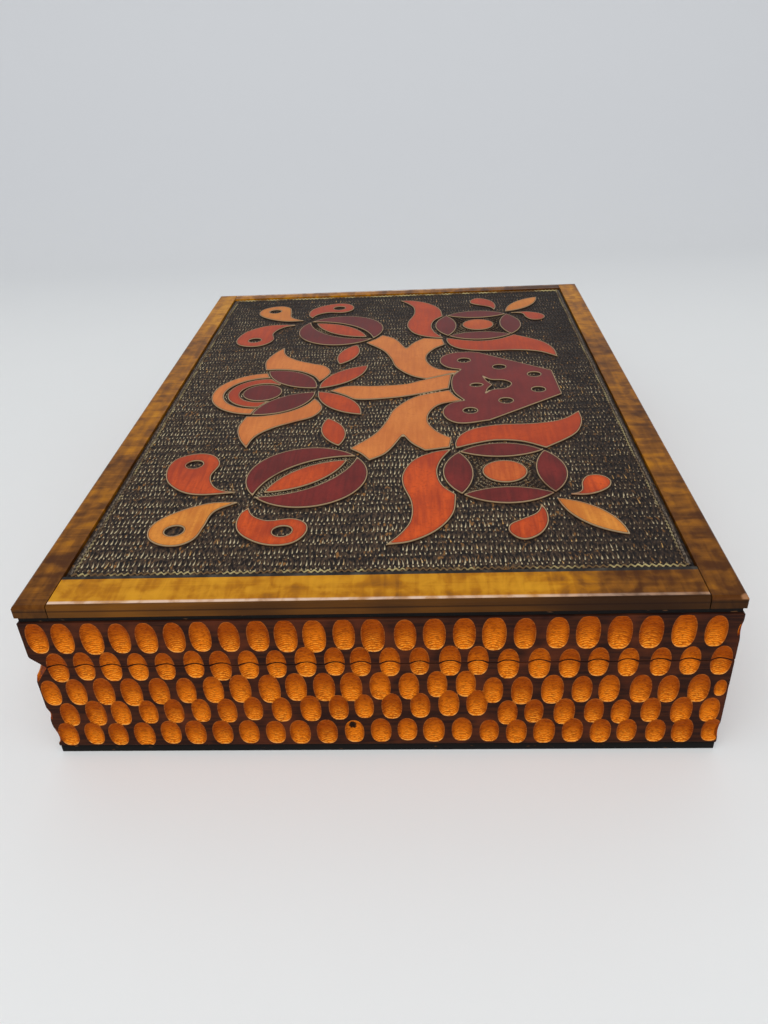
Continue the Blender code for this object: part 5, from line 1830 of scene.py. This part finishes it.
@dataclass
class WavyLine:
    """The thin pale wave that runs round the panel, and the plain lines outside it on the long sides."""

    period: float = 1.95 * MM
    reach: float = 0.50 * MM
    long_side_reach: float = 0.26 * MM
    width: float = 0.26 * MM
    height: float = 0.52 * MM
    margin: float = 1.5 * MM
    long_side_margin: float = 2.2 * MM
    plain_width: float = 0.8 * MM
    plain_margin: float = 1.15 * MM
    steps_a_period: int = 8
    drift: float = 0.12 * MM
    drift_length: float = 5.3 * MM

    def build(self, finishes: Finishes) -> bpy.types.Object:
        """Make the four waves and the two plain lines as one piece.

        Args:
            finishes: The materials.

        Returns:
            The piece.
        """
        middle = (PANEL_LOW + PANEL_HIGH) / 2
        size = PANEL_HIGH - PANEL_LOW
        bm = bmesh.new()
        tone = bm.verts.layers.float.new("tone")
        for number in range(4):
            turn = Matrix.Translation((*middle.xy, 0)) @ Matrix.Rotation(math.radians(90 * number), 4, "Z")
            if number % 2:
                length, out = size.y, size.x / 2
                lines = [LineRun(self.margin, self.reach, self.width, 1.0)]
            else:
                length, out = size.x, size.y / 2
                lines = [
                    LineRun(self.long_side_margin, self.long_side_reach, self.width, 0.5),
                    LineRun(self.plain_margin, 0.0, self.plain_width, 0.0),
                ]
            for run in lines:
                self._run(bm, turn, length - 2 * self.margin, out - run.margin, run)
        line = finished("wavy_line", bm, (finishes.wave,))
        line.data.shade_smooth()
        show(line, Half.LID, "carved_panel")
        return line

    def _run(self, bm: bmesh.types.BMesh, turn: Matrix, length: float, out: float, line: LineRun) -> None:
        """Add one line along a side.

        Args:
            bm: The mesh it is added to.
            turn: The matrix of the side.
            length: The line's length.
            out: Its distance from the panel's middle.
            line: Its other sizes.
        """
        columns = self.steps_a_period * round(length / self.period)
        run = bmesh.ops.create_grid(bm, x_segments=columns, y_segments=2, size=0.5)
        layer = bm.verts.layers.float["tone"]
        for vert in run["verts"]:
            along, across = vert.co.x * length, vert.co.y * 2
            wave = line.reach * math.sin(math.tau * along / self.period)
            wave += self.drift * math.sin(along / self.drift_length)
            high = GROUND_HEIGHT + (self.height if abs(across) < 0.5 else 0.0)
            vert.co = turn @ Vector((along, wave + across * line.width / 2 - out, high))
            vert[layer] = line.tone


@dataclass(frozen=True)
class WaveWood:
    """The pale wood that shows along the wavy line, browned here and there."""

    def make(self) -> bpy.types.Material:
        """Return the material."""
        paint = Paint("wave_wood")
        tone = paint.attribute("tone")
        cloud = paint.noise(paint.place(), 150.0, 3.0)
        fine = paint.noise(paint.place(), 900.0, 2.0)
        colour = paint.blend(cloud.ramp(0.42, 0.62), (0.16, 0.095, 0.045), (0.50, 0.41, 0.19))
        plain = paint.blend(fine.ramp(0.40, 0.65), (0.045, 0.032, 0.025), (0.21, 0.165, 0.12))
        return paint.finish(
            Base_Color=paint.blend(tone, plain, colour), Roughness=0.5, Specular_IOR_Level=0.12
        )


# ---- frame of the lid, boards and hinges ----


@dataclass
class LidFrame:
    """The four rails round the panel."""

    def dress(self, finishes: Finishes) -> None:
        """Give each rail its finish."""
        for side in Side:
            along_x = side in (Side.FRONT, Side.BACK)
            finish = finishes.border_long if along_x else finishes.border_short
            dress(f"lid_rail_{side.value[0]}", finish)


def dress(node: str, finish: bpy.types.Material) -> bpy.types.Object:
    """Give a CAD node its finish.

    Args:
        node: The node's name.
        finish: The material.

    Returns:
        The node's object.
    """
    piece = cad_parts[node]
    piece.data.materials.clear()
    piece.data.materials.append(finish)
    LOG.info("dressed %s", node)
    return piece


@dataclass
class Boards:
    """The two thin black boards: the one under the lid's frame, and the base plate."""

    plate_inset: float = 0.3 * MM
    plate_round: float = 0.25 * MM

    def dress(self, finishes: Finishes) -> None:
        """Give each board its finish, the base plate with its edge a little farther out."""
        dress("lid_backing", finishes.black)
        low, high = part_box("base_plate")
        size = Vector((BOX_LENGTH - 2 * self.plate_inset, BOX_WIDTH - 2 * self.plate_inset, high.z - low.z))
        bm = block(size, (0, 0, (low.z + high.z) / 2))
        bmesh.ops.bevel(
            bm, geom=bm.edges[:], offset=self.plate_round, segments=2, profile=0.5, affect="EDGES"
        )
        plate = finished("black_base_plate", bm, (finishes.black,))
        set_smooth(plate.data, 50)
        show(plate, Half.BASE, "black_board", "base_plate")


@dataclass
class Hinges:
    """The two brass hinges with their pins and screws."""

    def dress(self, finishes: Finishes) -> None:
        """Give every brass node its finish."""
        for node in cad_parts:
            if "hinge" in node:
                dress(node, finishes.brass)


# ---- studio ----


@dataclass
class Studio:
    """Floor, backdrop, lights and camera."""

    camera_place: tuple[float, float, float] = (-318.95 * MM, -16.23 * MM, 194.06 * MM)
    camera_turn_degrees: tuple[float, float, float] = (58.450, 2.654, -87.944)
    lens_mm: float = 29.02
    floor_reach: float = 6.0
    bend_start: float = 0.42
    bend_radius: float = 0.32

    def build(self) -> None:
        """Make the studio."""
        self._floor()
        self._world()
        self._lights()
        self._camera()

    def _floor(self) -> None:
        """Make the floor and the backdrop as one sheet, swept up behind the box."""
        bm = bmesh.new()
        bmesh.ops.create_grid(bm, x_segments=1, y_segments=1, size=self.floor_reach)
        geometry = [*bm.verts, *bm.edges, *bm.faces]
        result = bmesh.ops.bisect_plane(
            bm, geom=geometry, plane_co=(self.bend_start, 0, 0), plane_no=(1, 0, 0), clear_outer=True
        )
        swept = bmesh.ops.spin(
            bm,
            geom=[
                *only(result["geom_cut"], bmesh.types.BMEdge),
                *only(result["geom_cut"], bmesh.types.BMVert),
            ],
            cent=(self.bend_start, 0, self.bend_radius),
            axis=(0, -1, 0),
            angle=math.radians(90),
            steps=32,
        )
        last = only(swept["geom_last"], bmesh.types.BMEdge)
        pulled = bmesh.ops.extrude_edge_only(bm, edges=last)
        moved = only(pulled["geom"], bmesh.types.BMVert)
        bmesh.ops.translate(bm, vec=(0, 0, self.floor_reach), verts=moved)
        bmesh.ops.recalc_face_normals(bm, faces=bm.faces)
        floor = finished("floor", bm, (self._floor_finish(),))
        floor.data.shade_smooth()

    def _floor_finish(self) -> bpy.types.Material:
        """Return the floor's plain pale finish, with painted shade that makes it a little darker where it
        sweeps up.
        """
        paint = Paint("pale_floor")
        fine = paint.noise(paint.place(), 30.0, 2.0)
        # Painted shade: the sheet is painted darker where it sweeps up into the backdrop.
        back = paint.axis("X").ramp(self.bend_start - 0.25, self.bend_start + 0.25)
        near = paint.blend(fine, (0.822, 0.832, 0.825), (0.832, 0.842, 0.835))
        colour = paint.blend(back, near, (0.665, 0.680, 0.700))
        return paint.finish(Base_Color=colour, Roughness=0.6, Specular_IOR_Level=0.1)

    def _world(self) -> None:
        """Make the world: a plain pale grey."""
        world = bpy.data.worlds.new("studio")
        world.use_nodes = True
        background = world.node_tree.nodes["Background"]
        background.inputs["Color"].default_value = (0.62, 0.63, 0.65, 1.0)
        background.inputs["Strength"].default_value = 0.72
        bpy.context.scene.world = world

    def _lights(self) -> None:
        """Hang two large soft lamps."""
        for name, place, power, size in (
            ("overhead", (-0.75, 0.15, 1.4), 11.0, 1.6),
            ("behind_camera", (-1.7, -0.1, 1.1), 13.0, 1.5),
        ):
            lamp = bpy.data.lights.new(name, "AREA")
            lamp.energy = power
            lamp.size = size
            lamp.shape = "SQUARE"
            holder = bpy.data.objects.new(name, lamp)
            holder.location = place
            holder.rotation_mode = "QUATERNION"
            holder.rotation_quaternion = Vector(place).to_track_quat("Z", "Y")
            bpy.context.scene.collection.objects.link(holder)

    def _camera(self) -> None:
        """Place the camera as the photograph was taken."""
        lens = bpy.data.cameras.new("camera")
        lens.lens = self.lens_mm
        lens.sensor_width = 36.0
        lens.clip_start = 0.01
        camera = bpy.data.objects.new("camera", lens)
        camera.location = self.camera_place
        camera.rotation_euler = [math.radians(angle) for angle in self.camera_turn_degrees]
        bpy.context.scene.collection.objects.link(camera)
        bpy.context.scene.camera = camera


def main() -> None:
    """Build the looks, piece by piece."""
    logging.basicConfig(level=logging.INFO, format="%(name)s: %(message)s")
    bpy.context.scene.view_settings.view_transform = "Standard"
    finishes = Finishes()
    pattern = CutPattern()
    for half in Half:
        for side in Side:
            wall = CarvedWall(pattern, side, half).build(finishes)
            LOG.info("made %s, %d faces", wall.name, len(wall.data.polygons))
    for piece in CarvedPanel().build(finishes):
        LOG.info("made %s, %d faces", piece.name, len(piece.data.polygons))
    LidFrame().dress(finishes)
    Boards().dress(finishes)
    Hinges().dress(finishes)
    Studio().build()


if __name__ == "__main__":
    main()
